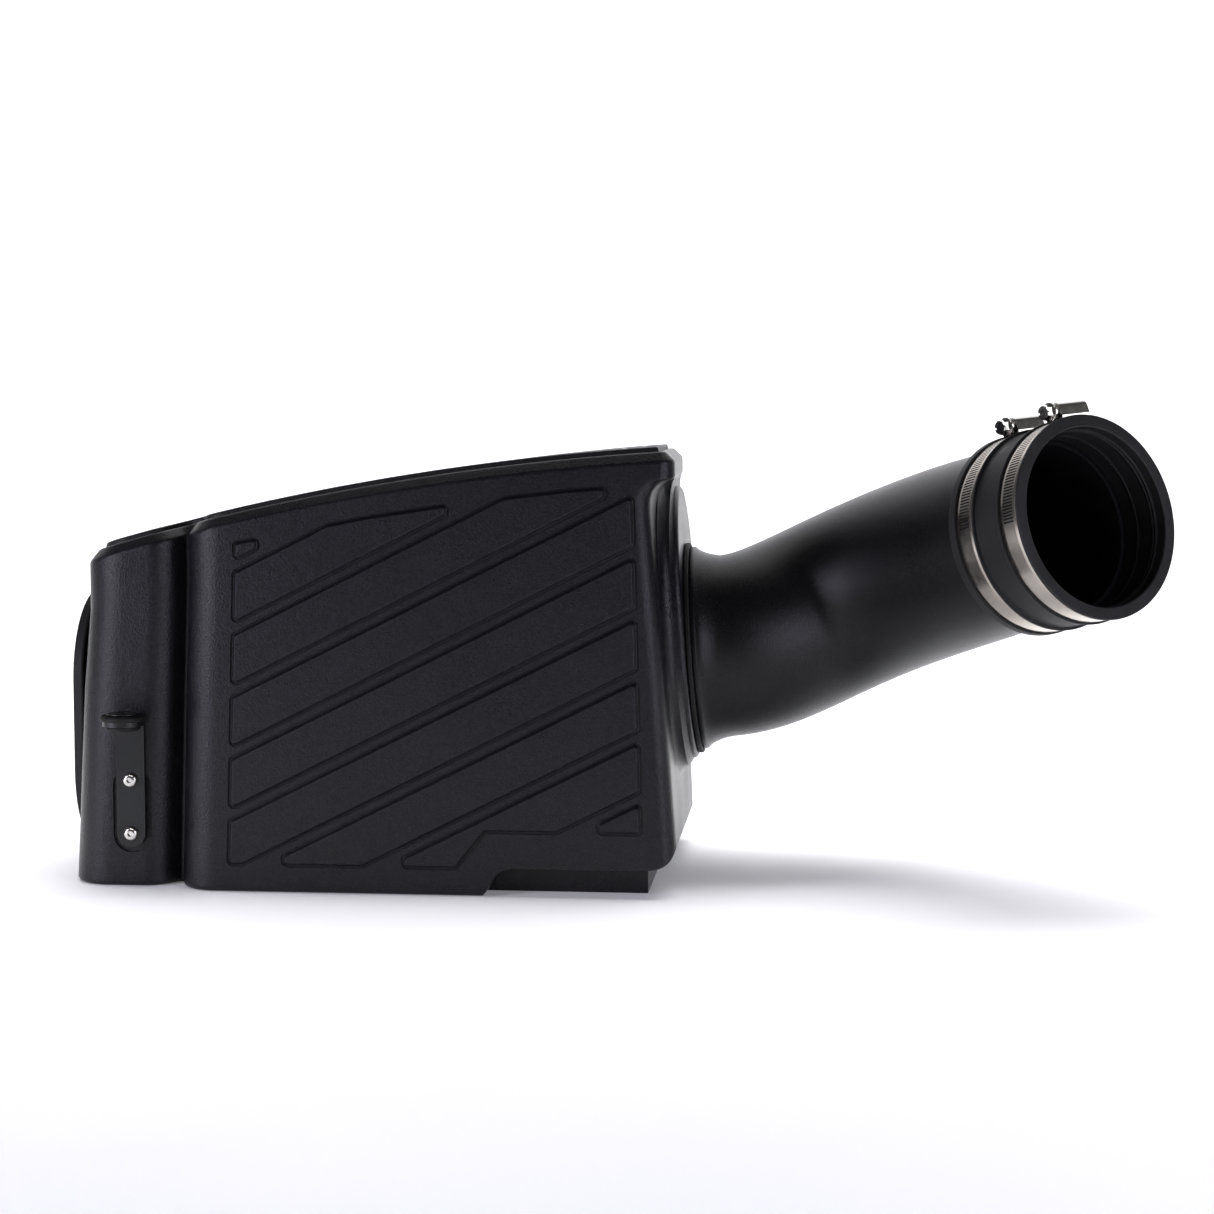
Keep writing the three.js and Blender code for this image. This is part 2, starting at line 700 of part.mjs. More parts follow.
// ---------- seals ----------
function addSeals() {
  const lip = [
    inletRing(GAP, INLET_END + 1.4), inletRing(4, INLET_END + 1.4),
    inletRing(4.6, INLET_END), inletRing(3, INLET_END - 5.8),
    inletRing(-3, INLET_END - 5.8), inletRing(-3, INLET_END - GAP), inletRing(GAP, INLET_END - GAP),
  ];
  addPiece('inlet_seal', skin(lip, true), rubber);
  const ring = [
    [57.8, -6.8], [64, -6.8], [64, -3.8], [59.7, -3.8],
    [59.7, GAP], [66.5, GAP], [66.5, 3.2], [57.8, 3.2],
  ];
  addPiece('port_seal', turned(ring, 40), rubber, frameGroup(portFrame));
}

// ---------- intake tube ----------
const couplerAxis = new THREE.Vector3(
  Math.sin(COUPLER_AZIMUTH) * Math.cos(COUPLER_RISE),
  -Math.cos(COUPLER_AZIMUTH) * Math.cos(COUPLER_RISE),
  Math.sin(COUPLER_RISE),
);
const couplerFrame = axisFrame(COUPLER_FACE, couplerAxis);
const portAxis = new THREE.Vector3().setFromMatrixColumn(portFrame, 2);
const bend = new THREE.CubicBezierCurve3(
  PORT.clone().addScaledVector(portAxis, TUBE_LEAD),
  PORT.clone().addScaledVector(portAxis, 62),
  COUPLER_FACE.clone().addScaledVector(couplerAxis, -COUPLER_LENGTH - 190),
  COUPLER_FACE.clone().addScaledVector(couplerAxis, -COUPLER_LENGTH),
);
const bendLength = bend.getLength();
const bendEnd = TUBE_LEAD + bendLength;
const tubeLength = bendEnd + COUPLER_LENGTH - TUBE_STOP;

// A circle round the tube's path, straight at both ends, at a length from the port plane.
function tubeRing(s, radius, segments = 40) {
  const t = THREE.MathUtils.clamp((s - TUBE_LEAD) / bendLength, 0, 1);
  const tangent = bend.getTangentAt(t);
  const centre = bend.getPointAt(t).addScaledVector(tangent, s - TUBE_LEAD - t * bendLength);
  const frame = axisFrame(centre, tangent);
  return circleOutline(radius, segments).map(({ x, y }) => (
    new THREE.Vector3(x, y, 0).applyMatrix4(frame)
  ));
}

function tubeRadius(s) {
  const f = THREE.MathUtils.clamp(s / bendEnd, 0, 1) ** 6;
  return THREE.MathUtils.lerp(TUBE_START_RADIUS, TUBE_END_RADIUS, f);
}

function makeTube() {
  const rings = [
    tubeRing(SPIGOT_END, SPIGOT_RADIUS - 1),
    tubeRing(SPIGOT_END + 1, SPIGOT_RADIUS),
    tubeRing(LIP_START, SPIGOT_RADIUS),
    tubeRing(LIP_START, LIP_RADIUS),
    tubeRing(LIP_START + 3.5, LIP_RADIUS),
    tubeRing(LIP_START + 5, LIP_RADIUS - 1.6),
    tubeRing(LIP_START + 8, LIP_RADIUS - 3.6),
    tubeRing(LIP_START + 13, LIP_RADIUS - 5),
  ];
  const steps = 11;
  for (let k = 1; k <= steps; k += 1) {
    const s = TUBE_LEAD + (bendLength * k) / steps;
    rings.push(tubeRing(s, tubeRadius(s)));
  }
  rings.push(tubeRing(tubeLength - 1, TUBE_END_RADIUS));
  rings.push(tubeRing(tubeLength, TUBE_END_RADIUS - 1));
  rings.push(tubeRing(tubeLength, TUBE_END_RADIUS - TUBE_WALL));
  for (let k = steps; k >= 0; k -= 1) {
    const s = (bendEnd * k) / steps;
    rings.push(tubeRing(s, Math.min(tubeRadius(s), SPIGOT_RADIUS) - TUBE_WALL));
  }
  rings.push(tubeRing(SPIGOT_END, SPIGOT_RADIUS - TUBE_WALL));
  return skin(rings, true);
}

// ---------- coupler ----------
function couplerProfile() {
  const rib = COUPLER_RIB;
  const body = COUPLER_BODY;
  const mouth = 52.5;
  const socket = TUBE_END_RADIUS + GAP;
  const stop = GAP - TUBE_STOP;
  return [
    [mouth + 1, 0], [rib - 0.8, 0], [rib, -0.8], [rib, -2], [body, -2],
    [body, -16.8], [rib, -16.8], [rib, -18.3], [body + 0.3, -18.3],
    [body + 0.3, -38.5], [rib, -38.5], [rib, -40], [body, -40],
    [body, -54.8], [rib, -54.8], [rib, -COUPLER_LENGTH], [socket, -COUPLER_LENGTH],
    [socket, stop], [mouth, stop], [mouth, -11], [mouth - 0.7, -10], [mouth, -9],
    [mouth - 0.7, -8], [mouth, -7], [mouth, -1],
  ];
}

// ---------- worm-drive clamps ----------
// In a clamp's frame +Z is the hose axis and +X points to the housing.
function housingSolid(bandOuter) {
  const base = bandOuter + GAP;
  const worm = bandOuter + WORM_HEIGHT;
  const cross = [[base - 4, 6.8, 0.5], [base - 4, -6.8, 0.5], [base + 1.6, -6.8, 0.6]];
  cross.push([worm + 5, -5.4, 4], [worm + 5, 5.4, 4], [base + 1.6, 6.8, 0.6]);
  const body = prism(roundedOutline(cross.reverse(), 4), -HOUSING_HEAD, HOUSING_TAIL)
    .rotateX(Math.PI / 2);
  const bore = rod(WORM_RADIUS + 0.4, -20, 20, 24).rotateX(Math.PI / 2).translate(worm, 0, 0);
  return solid(body).subtract(solid(bore)).subtract(solid(rod(base, -20, 20, 80)));
}

// A worm screw along +Y with a slotted hexagon washer head.
function wormScrew() {
  const profile = [
    [0, -WORM_TAIL], [2.9, -WORM_TAIL], [WORM_RADIUS, 0.6 - WORM_TAIL], [WORM_RADIUS, 9],
    [2.6, 9.4], [2.6, 10.4],
    [5.7, 10.4], [5.7, 11.8], [3, 11.8], [0, 11.8],
  ];
  const hexagon = new THREE.CylinderGeometry(4.6, 4.6, 5.4, 6).rotateX(Math.PI / 2);
  const slot = new THREE.BoxGeometry(1.2, 12, 2.4).translate(0, 0, 16.6);
  return solid(turned(profile, 18))
    .add(solid(hexagon.translate(0, 0, 13.9)))
    .subtract(solid(slot));
}

function addClamp(prefix, hoseFrame, { depth, radius, width, turn }) {
  const group = frameGroup(hoseFrame);
  const local = frameGroup(new THREE.Matrix4().makeRotationZ(turn).setPosition(0, 0, depth), group);
  const outer = radius + BAND_THICKNESS;
  const half = width / 2;
  const profile = [[radius, -half], [outer, -half], [outer, half], [radius, half]];
  addPiece(`${prefix}_band`, turned(profile, 48), stainless, local);
  addPiece(`${prefix}_housing`, geometryOf(housingSolid(outer)), stainless, local);
  const screw = addPiece(`${prefix}_screw`, geometryOf(wormScrew()), chrome, local);
  screw.position.set(outer + WORM_HEIGHT, 0, 0);
  screw.rotation.x = -Math.PI / 2;
}

function addTubeAndCoupler() {
  addPiece('intake_tube', makeTube(), tubePlastic);
  addPiece('coupler', turned(couplerProfile(), 44), couplerRubber, frameGroup(couplerFrame));
  const common = { radius: COUPLER_BODY + GAP, width: BAND_WIDTH, turn: CLAMP_TURN };
  addClamp('clamp_1', couplerFrame, { ...common, depth: -47.4 });
  addClamp('clamp_2', couplerFrame, { ...common, depth: -9.4 });
}

// ---------- filter ----------
// A ring of pleat folds between an outer radius and one pleat depth below it.
function pleatRing(radius, height) {
  const step = Math.PI / PLEATS;
  return Array.from({ length: 2 * PLEATS }, (_, k) => {
    const r = radius - (k % 2) * PLEAT_DEPTH;
    return new THREE.Vector3(r * Math.cos(k * step), r * Math.sin(k * step), height);
  });
}

function addFilter() {
  const group = frameGroup(portFrame);
  const base = FILTER_BASE - GAP;
  const flange = [
    [57.8, -12], [62.5, -12], [62.5, -44], [79, -44], [80, -45], [80, FILTER_BASE + 1],
    [79, FILTER_BASE], [54, FILTER_BASE], [54, SPIGOT_END - 0.6], [57.8, SPIGOT_END - 0.6],
  ];
  addPiece('filter_flange', turned(flange, 36), urethane, group);

  const media = [
    pleatRing(MEDIA_BASE_RADIUS, base),
    pleatRing(MEDIA_END_RADIUS, FILTER_END),
    pleatRing(MEDIA_END_RADIUS - PLEAT_SKIN, FILTER_END),
    pleatRing(MEDIA_BASE_RADIUS - PLEAT_SKIN, base),
  ];
  addPiece('filter_media', skin(media, true), filterCloth, group);

  const inner = PLEAT_DEPTH + PLEAT_SKIN + 0.5;
  const cage = [
    [MEDIA_BASE_RADIUS - inner, base], [MEDIA_END_RADIUS - inner, FILTER_END],
    [MEDIA_END_RADIUS - inner - 1, FILTER_END], [MEDIA_BASE_RADIUS - inner - 1, base],
  ];
  addPiece('filter_core', turned(cage, 32), wire, group);

  const top = FILTER_END - GAP;
  const cap = [
    [0, top - 14], [44, top - 12], [58, top - 9], [64, top - 5], [64, top - 1], [63, top], [0, top],
  ];
  addPiece('filter_end_cap', turned(cap, 32), urethane, group);
  addClamp('filter_clamp', portFrame, { depth: -27, radius: 62.8, width: 12.7, turn: 0 });
}

addAirbox();
addBracket();
addSeals();
addTubeAndCoupler();
addFilter();

export default object;
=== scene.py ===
import contextlib
import math

import bmesh
import bpy
import numpy as np
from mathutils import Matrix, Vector


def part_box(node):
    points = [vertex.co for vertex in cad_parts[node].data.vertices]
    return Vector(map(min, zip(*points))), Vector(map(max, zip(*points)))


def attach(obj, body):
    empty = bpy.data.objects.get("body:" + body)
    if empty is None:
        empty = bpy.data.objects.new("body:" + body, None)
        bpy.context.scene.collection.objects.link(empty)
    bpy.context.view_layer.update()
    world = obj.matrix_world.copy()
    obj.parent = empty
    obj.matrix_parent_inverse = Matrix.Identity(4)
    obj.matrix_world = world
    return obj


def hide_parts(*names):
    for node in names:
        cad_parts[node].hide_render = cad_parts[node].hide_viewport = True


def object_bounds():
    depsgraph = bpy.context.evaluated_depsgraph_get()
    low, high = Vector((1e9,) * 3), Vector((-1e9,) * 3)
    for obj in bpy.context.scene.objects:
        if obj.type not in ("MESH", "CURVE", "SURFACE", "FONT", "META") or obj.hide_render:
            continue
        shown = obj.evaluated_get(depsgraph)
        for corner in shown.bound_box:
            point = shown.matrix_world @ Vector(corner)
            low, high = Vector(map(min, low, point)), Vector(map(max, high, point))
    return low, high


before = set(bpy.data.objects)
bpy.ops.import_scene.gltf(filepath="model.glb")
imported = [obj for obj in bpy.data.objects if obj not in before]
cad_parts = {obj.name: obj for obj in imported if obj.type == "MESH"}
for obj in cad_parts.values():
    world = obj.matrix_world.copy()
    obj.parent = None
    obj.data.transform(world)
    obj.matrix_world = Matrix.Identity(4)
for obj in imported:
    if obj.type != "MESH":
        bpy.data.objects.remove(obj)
cad_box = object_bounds()

# ---------- dimensions, in millimetres ----------
MM = 0.001
GAP = 0.3
WALL = 3.5
FRONT, BACK = -110.0, 110.0
COLUMN_FRONT, COLUMN_LEFT, COLUMN_RIGHT = -98.0, -202.0, -146.0
VALLEY_LEFT, MAIN_LEFT, VALLEY_FLOOR = -134.0, -131.0, -83.5
RIGHT_FRONT, RIGHT_BACK, RIM_RIGHT, RIM_RIGHT_BACK = 177.2, 174.0, 174.0, 165.0
LEFT_DRAFT, GROOVE_DRAFT, RIGHT_FRONT_DRAFT, RIGHT_BACK_DRAFT = 0.0535, 0.03, 0.0734, 0.0375
LEFT_RIM_HEIGHT, RIGHT_RIM_HEIGHT = 205.0, 250.0
FOOT_FILLET, RIM_DEPTH, RIM_CHAMFER = 3.0, 17, 6
CROWN_RADIUS, CROWN_X, CROWN_Z = 1600.0, 265.0, 270.5
RIM_LIP, LID_INSET, LID_PROUD = 9.7, 10.0, 3.0
LID_UNDERSIDE, SEAT, FLANGE_UNDERSIDE = -2.0, -4.5, -12.0

PORT = np.array([178.8, -10.0, 142.0])
PORT_TILT = 0.0733
SPIGOT_RADIUS, SPIGOT_END, TUBE_LEAD = 57.5, -48.0, 20.0
LIP_START, LIP_RADIUS = 3.5, 64.0
TUBE_START_RADIUS, TUBE_END_RADIUS, TUBE_WALL = 57.4, 53.5, 3.8
TUBE_SEGMENTS, TUBE_RINGS, BORE_RINGS = 144, 70, 50
COUPLER_FACE = np.array([417.5, -131.5, 231.1])
COUPLER_AZIMUTH, COUPLER_RISE = math.radians(37.6), math.radians(13)
COUPLER_LENGTH, COUPLER_RIB, COUPLER_BODY, TUBE_STOP = 60.0, 60.0, 57.8, 34.0

BAND_THICKNESS, BAND_WIDTH, WORM_RADIUS, WORM_HEIGHT = 0.8, 14.2, 3.5, 5.2
WORM_TAIL, HOUSING_HEAD, HOUSING_TAIL, CLAMP_TURN = 15.2, 8.5, 13.0, 0.08
SLOT_PITCH, SLOT_WIDTH, SLOT_LENGTH, THREAD_DEPTH = 1.85, 1.0, 8.0, 0.75

FILTER_BASE, FILTER_END = -57.0, -222.0
PLEATS, PLEAT_DEPTH, PLEAT_SKIN = 48, 14.0, 3.0
MEDIA_BASE_RADIUS, MEDIA_END_RADIUS = 78.0, 62.0

LID_SCREWS, BRACKET_SCREWS = 8, 2
SHANK_LENGTH, THREAD_PITCH, LID_SCREW_SEAT, LID_INSERT_DROP, INSERT_RADIUS = 13, 0.8, 0.4, 6.6, 3.4
BRACKET_X, STRAP_WIDTH, STRAP_THICKNESS = -160.0, 17.5, 3.0
STRAP_LOW, TAB_Z, TAB_RADIUS, GROMMET_REACH = 25.0, 104.5, 12.0, 17.0
INLET_Z, INLET_HALF_WIDTH, INLET_HALF_HEIGHT, INLET_END = 93.0, 55.0, 81.0, -203.4

STRIP_SLOPE, STRIP_PITCH, STRIP_HEIGHT, STRIP_PROUD = 0.505, 37.2, 28.7, 2.0
CHANNEL_REACH, CHANNEL_DEPTH = 2.3, 1.2
STRIP_COUNT, STRIP_TIP = 9, 4.6
NOTCH_DEPTH, NOTCH_TOP = 20.0, 17.0

UP = np.array([0.0, 0.0, 1.0])
CROWN_CUTS = np.arange(-180, 176, 9)  # where flat pieces are cut so that they can follow the crown


# ---------- outlines ----------
def unit(vector):
    return vector / np.linalg.norm(vector)


def full_turn(count):
    return 2 * math.pi * np.arange(count) / count


def circle(radius, count, z):
    """Points round +Z; the radius may differ from point to point."""
    angles = full_turn(count)
    return np.column_stack((radius * np.cos(angles), radius * np.sin(angles), np.full(count, float(z))))


def moved(points, place):
    return points @ place[:3, :3].T + place[:3, 3]


def arc_points(centre, radius, start, sweep, steps):
    angles = start + sweep * np.arange(steps + 1) / steps
    return np.column_stack((centre[0] + radius * np.cos(angles), centre[1] + radius * np.sin(angles)))


def rounded_outline(corners, steps=8, runs=None):
    """Points round counterclockwise (x, y, radius) corners; runs splits the straight stretches."""
    count = len(corners)
    arcs = []
    for i, (x, y, radius) in enumerate(corners):
        corner = np.array([x, y], float)
        back = unit(np.array(corners[i - 1][:2], float) - corner)
        ahead = unit(np.array(corners[(i + 1) % count][:2], float) - corner)
        half = math.acos(float(np.clip(back @ ahead, -1, 1))) / 2
        if math.pi / 2 - half < 0.002:
            arcs.append(corner[None, :])
            continue
        centre = corner + unit(back + ahead) * radius / math.sin(half)
        first = corner + back * radius / math.tan(half) - centre
        last = corner + ahead * radius / math.tan(half) - centre
        start = math.atan2(first[1], first[0])
        turn = math.atan2(last[1], last[0]) - start
        sweep = math.atan2(math.sin(turn), math.cos(turn))
        arcs.append(arc_points(centre, radius, start, sweep, steps))
    points = []
    for i, arc in enumerate(arcs):
        points.append(arc)
        pieces = runs[i] if runs else 1
        straight = arcs[(i + 1) % count][0] - arc[-1]
        points += [(arc[-1] + straight * k / pieces)[None, :] for k in range(1, pieces)]
    return np.vstack(points)


def inset_corners(corners, distance):
    """The corners moved inwards; round convex corners tighten."""
    result = []
    for i, (x, y, radius) in enumerate(corners):
        corner = np.array([x, y], float)
        arriving = unit(corner - corners[i - 1][:2])
        leaving = unit(corners[(i + 1) % len(corners)][:2] - corner)
        in_a, in_b = (np.array([-side[1], side[0]]) for side in (arriving, leaving))
        shift = (in_a + in_b) * distance / (1 + in_a @ in_b)
        convex = arriving[0] * leaving[1] - arriving[1] * leaving[0] > 0
        radius += -distance if convex else distance
        result.append((x + shift[0], y + shift[1], max(radius, 0.4)))
    return result


def inset_outline(corners, distance, steps, runs=None):
    return rounded_outline(inset_corners(corners, distance), steps, runs)


def rectangle_corners(x0, y0, x1, y1, radius):
    return [(x0, y0, radius), (x1, y0, radius), (x1, y1, radius), (x0, y1, radius)]


def quarter(steps):
    """(sine, cosine) pairs through a quarter turn."""
    return [(math.sin(t), math.cos(t)) for t in (k * math.pi / 2 / steps for k in range(steps + 1))]


def cubic(p, t):
    """The point of a cubic Bezier at t, which may be a column of values."""
    return (1 - t) ** 3 * p[0] + 3 * (1 - t) ** 2 * t * p[1] + 3 * (1 - t) * t * t * p[2] + t**3 * p[3]


def bezier(points, steps):
    """Points along a quadratic or cubic Bezier."""
    p = [np.array(q, float) for q in points]
    t = np.arange(steps + 1)[:, None] / steps
    if len(p) == 3:
        return (1 - t) ** 2 * p[0] + 2 * (1 - t) * t * p[1] + t * t * p[2]
    return cubic(p, t)


def softened(profile, radius, steps=4):
    """A closed profile of (r, z) points with every corner rounded where there is room."""
    points = [np.array(p, float) for p in profile]
    result = []
    for i, p in enumerate(points):
        a, b = points[i - 1] - p, points[(i + 1) % len(points)] - p
        la, lb = np.linalg.norm(a), np.linalg.norm(b)
        reach = min(radius, 0.45 * la, 0.45 * lb)
        if reach < 0.02 or (p[0] < 1e-9):
            result.append(p)
            continue
        result.extend(bezier([p + a / la * reach, p, p + b / lb * reach], steps))
    return result


# ---------- meshes ----------
@contextlib.contextmanager
def editing(mesh):
    bm = bmesh.new()
    bm.from_mesh(mesh)
    yield bm
    bm.to_mesh(mesh)
    bm.free()


def mesh_object(name, verts, faces):
    mesh = bpy.data.meshes.new(name)
    mesh.from_pydata([tuple(v) for v in np.asarray(verts, float) * MM], [], faces)
    with editing(mesh) as bm:
        bmesh.ops.recalc_face_normals(bm, faces=bm.faces)
    obj = bpy.data.objects.new(name, mesh)
    bpy.context.scene.collection.objects.link(obj)
    return obj


def loft(name, rings, closed=False):
    """A skin over rings of equal counts; its ends are capped unless it closes on itself."""
    count = len(rings[0])
    faces = []
    for r in range(len(rings) if closed else len(rings) - 1):
        below, above = r * count, ((r + 1) % len(rings)) * count
        for k in range(count):
            n = (k + 1) % count
            faces.append((below + k, below + n, above + n, above + k))
    if not closed:
        faces.append(tuple(range(count))[::-1])
        faces.append(tuple(range((len(rings) - 1) * count, len(rings) * count)))
    return mesh_object(name, np.vstack(rings), faces)


def turned(name, profile, segments=96, place=None):
    """A piece turned about +Z from closed (r, z) points; points on the axis become poles."""
    verts, rows = [], []
    angles = full_turn(segments)
    for r, z in profile:
        if r < 1e-9:
            rows.append([len(verts)] * segments)
            verts.append((0, 0, z))
        else:
            rows.append(list(range(len(verts), len(verts) + segments)))
            verts.extend((r * math.cos(a), r * math.sin(a), z) for a in angles)
    faces = []
    for i, row in enumerate(rows):
        nxt = rows[(i + 1) % len(rows)]
        if row[0] == row[1] and nxt[0] == nxt[1]:
            continue
        for k in range(segments):
            n = (k + 1) % segments
            faces.append(tuple(dict.fromkeys((row[k], row[n], nxt[n], nxt[k]))))
    obj = mesh_object(name, verts, faces)
    if place is not None:
        transform(obj, place)
    return obj


def flat_ring(outline, z):
    """An outline of (x, y) points laid flat at a height."""
    return np.column_stack((outline, np.full(len(outline), float(z))))


def front_ring(outline, y):
    """An outline of (x, z) points stood up facing the front."""
    return np.column_stack((outline[:, 0], np.full(len(outline), float(y)), outline[:, 1]))


def prism(name, outline, z0, z1):
    return loft(name, [flat_ring(outline, z) for z in (z0, z1)])


def front_prism(name, outline, y0, y1):
    return loft(name, [front_ring(outline, y) for y in (y0, y1)])


def rod(name, radius, z0, z1, segments=32, x=0.0, y=0.0):
    outline = arc_points((x, y), radius, 0, 2 * math.pi * (segments - 1) / segments, segments - 1)
    return prism(name, outline, z0, z1)


def transform(obj, place):
    """Moves a mesh's vertices by a 4x4 array that is in millimetres."""
    co = np.empty(len(obj.data.vertices) * 3)
    obj.data.vertices.foreach_get("co", co)
    obj.data.vertices.foreach_set("co", (moved(co.reshape(-1, 3) / MM, place) * MM).ravel())
    obj.data.update()
    return obj


def apply_modifiers(obj):
    depsgraph = bpy.context.evaluated_depsgraph_get()
    mesh = bpy.data.meshes.new_from_object(obj.evaluated_get(depsgraph))
    obj.modifiers.clear()
    obj.data = mesh
    return obj


def combined(obj, tools, operation="DIFFERENCE"):
    """The object with other solids cut out of it, added to it or kept in common with it."""
    for tool in tools:
        modifier = obj.modifiers.new("combine", "BOOLEAN")
        modifier.operation = operation
        modifier.solver = "MANIFOLD"
        modifier.object = tool
    apply_modifiers(obj)
    for tool in tools:
        bpy.data.objects.remove(tool)
    return obj


def sliced(obj, axis, positions):
    """Adds edges where planes across an axis meet the mesh, so that it can be bent."""
    normal = np.eye(3)[axis]
    with editing(obj.data) as bm:
        bmesh.ops.triangulate(bm, faces=[f for f in bm.faces if len(f.verts) > 4])
        for position in positions:
            geometry = bm.verts[:] + bm.edges[:] + bm.faces[:]
            plane = {"plane_co": normal * position * MM, "plane_no": normal}
            bmesh.ops.bisect_plane(bm, geom=geometry, dist=1e-7, **plane)


def bevelled(obj, width, segments=3, angle=38):
    modifier = obj.modifiers.new("edges", "BEVEL")
    modifier.width = width * MM
    modifier.segments = segments
    modifier.limit_method = "ANGLE"
    modifier.angle_limit = math.radians(angle)
    modifier.harden_normals = False
    return apply_modifiers(obj)


def placed(x, y, z, origin):
    """A 4x4 with the given directions of its axes, standing at an origin."""
    place = np.eye(4)
    place[:3, 0], place[:3, 1], place[:3, 2], place[:3, 3] = x, y, z, origin
    return place


def axis_place(origin, axis):
    """A 4x4 at an origin: +Z along the axis, +X as close to upwards as it can be."""
    z = unit(axis)
    x = unit(UP - z * (UP @ z))
    return placed(x, np.cross(z, x), z, origin)


def upright(x, y, z):
    return placed((1, 0, 0), (0, 1, 0), (0, 0, 1), (x, y, z))


def turned_place(angle, depth):
    """A 4x4 that turns about +Z and moves along it."""
    cosine, sine = math.cos(angle), math.sin(angle)
    return placed((cosine, sine, 0), (-sine, cosine, 0), (0, 0, 1), (0, 0, depth))


def towards_front(x, y, z):
    """A 4x4 whose +Z points to the front, standing at a point."""
    return placed((1, 0, 0), (0, 0, 1), (0, -1, 0), (x, y, z))


def worm_place(radius):
    """A 4x4 whose +Z lies along a clamp's worm, at a radius from the hose axis."""
    return placed((1, 0, 0), (0, 0, -1), (0, 1, 0), (radius, 0, 0))


def shown(obj, finish, body, nodes, smooth_angle=32, weighted=True):
    """Gives a piece its material, shading, slot and body, in place of its CAD nodes."""
    mesh = obj.data
    mesh.materials.clear()
    mesh.materials.append(finish)
    mesh.shade_smooth()
    mesh.set_sharp_from_angle(angle=math.radians(smooth_angle))
    if weighted:
        modifier = obj.modifiers.new("normals", "WEIGHTED_NORMAL")
        modifier.keep_sharp = True
        modifier.mode = "FACE_AREA"
        modifier.weight = 90
    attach(obj, body)
    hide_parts(*nodes)
    return obj


# ---------- materials ----------
# places of the colour sockets in a Mix node
MIX_COLOUR_A, MIX_COLOUR_B, MIX_COLOUR_RESULT = 6, 7, 2


class Graph:
    """A material with a Principled shader and short ways to add the nodes it needs."""

    def __init__(self, name, slot, **constants):
        self.material = bpy.data.materials.new(name)
        self.material["slot"] = slot
        self.material.use_nodes = True
        self.nodes = self.material.node_tree.nodes
        self.links = self.material.node_tree.links
        self.shader = self.nodes["Principled BSDF"]
        self.feed(**constants)
        self.place = self.add("ShaderNodeTexCoord", "Object", {})

    def connect(self, socket, value):
        """Links a value that comes out of a node, or sets a plain one."""
        if isinstance(value, bpy.types.NodeSocket):
            self.links.new(value, socket)
        else:
            socket.default_value = value

    def add(self, kind, output, inputs, **settings):
        """Adds a node, fills its inputs and returns one of its outputs."""
        node = self.nodes.new(kind)
        for name, value in settings.items():
            setattr(node, name, value)
        for name, value in inputs.items():
            self.connect(node.inputs[name], value)
        return node.outputs[output]

    def feed(self, **values):
        for socket, value in values.items():
            self.connect(self.shader.inputs[socket.replace("_", " ")], value)
        return self.material

    def stretched(self, scale):
        return self.add("ShaderNodeMapping", "Vector", {"Scale": scale, "Vector": self.place})

    def noise(self, scale, detail=3.0, roughness=0.5, vector=None):
        inputs = {"Scale": scale, "Detail": detail, "Roughness": roughness, "Vector": vector or self.place}
        return self.add("ShaderNodeTexNoise", "Fac", inputs)

    def cells(self, scale):
        inputs = {"Scale": scale, "Smoothness": 0.4, "Vector": self.place}
        return self.add("ShaderNodeTexVoronoi", "Distance", inputs, feature="SMOOTH_F1")

    def edges(self, low, high):
        """Convex edges of a finely divided piece."""
        return self.ranged(self.add("ShaderNodeNewGeometry", "Pointiness", {}), low, high, 0, 1)

    def rounded_edges(self, radius):
        """Edges of a piece with large faces, found from a rounded normal."""
        rounded = self.add("ShaderNodeBevel", "Normal", {"Radius": radius}, samples=4)
        plain = self.add("ShaderNodeNewGeometry", "Normal", {})
        dot = self.add("ShaderNodeVectorMath", "Value", {0: rounded, 1: plain}, operation="DOT_PRODUCT")
        return self.ranged(dot, 0.99, 0.8, 0, 0.8)

    def ranged(self, value, low, high, out_low, out_high):
        inputs = {"From Min": low, "From Max": high, "To Min": out_low, "To Max": out_high, "Value": value}
        return self.add("ShaderNodeMapRange", "Result", inputs)

    def math(self, operation, a, b):
        return self.add("ShaderNodeMath", "Value", {0: a, 1: b}, operation=operation)

    def ramp(self, factor, stops):
        colour = self.add("ShaderNodeValToRGB", "Color", {"Fac": factor})
        for stop, (position, paint) in zip(colour.node.color_ramp.elements, stops):
            stop.position = position
            stop.color = (*paint, 1.0)
        return colour

    def mixed(self, factor, a, b):
        a, b = ((*c, 1.0) if isinstance(c, tuple) else c for c in (a, b))
        inputs = {"Factor": factor, MIX_COLOUR_A: a, MIX_COLOUR_B: b}
        return self.add("ShaderNodeMix", MIX_COLOUR_RESULT, inputs, data_type="RGBA")

    def bump(self, height, strength, distance, below=None):
        inputs = {"Strength": strength, "Distance": distance, "Height": height}
        if below is not None:
            inputs["Normal"] = below
        return self.add("ShaderNodeBump", "Normal", inputs)


def grained_plastic(name, dark, light, edge_highlight, rough, grain_scale, grain, specular, edge_radius=None):
    """Moulded plastic: cellular grain, speckle, uneven sheen and convex edges lightened as a painted
    highlight.
    """
    g = Graph(name, name, Specular_IOR_Level=specular)
    cells = g.math("MULTIPLY", g.cells(grain_scale), 0.8)
    grain_height = g.math("ADD", cells, g.noise(grain_scale * 1.9, 2.0))
    clouds = g.noise(14.0, 4.0)
    colour = g.ramp(g.noise(grain_scale * 0.8, 3.0), ((0.35, dark), (0.68, light)))
    edges = g.rounded_edges(edge_radius) if edge_radius else g.edges(0.53, 0.62)
    # painted highlight: the convex edges are mixed towards a paler colour
    colour = g.mixed(edges, colour, edge_highlight)
    sheen = g.ranged(grain_height, 0.5, 1.3, -0.05, 0.06)
    roughness = g.math("ADD", g.ranged(clouds, 0.3, 0.7, *rough), sheen)
    return g.feed(
        Base_Color=colour,
        Roughness=roughness,
        Normal=g.bump(grain_height, grain, 0.0004, g.bump(clouds, 0.06, 0.002)),
    )


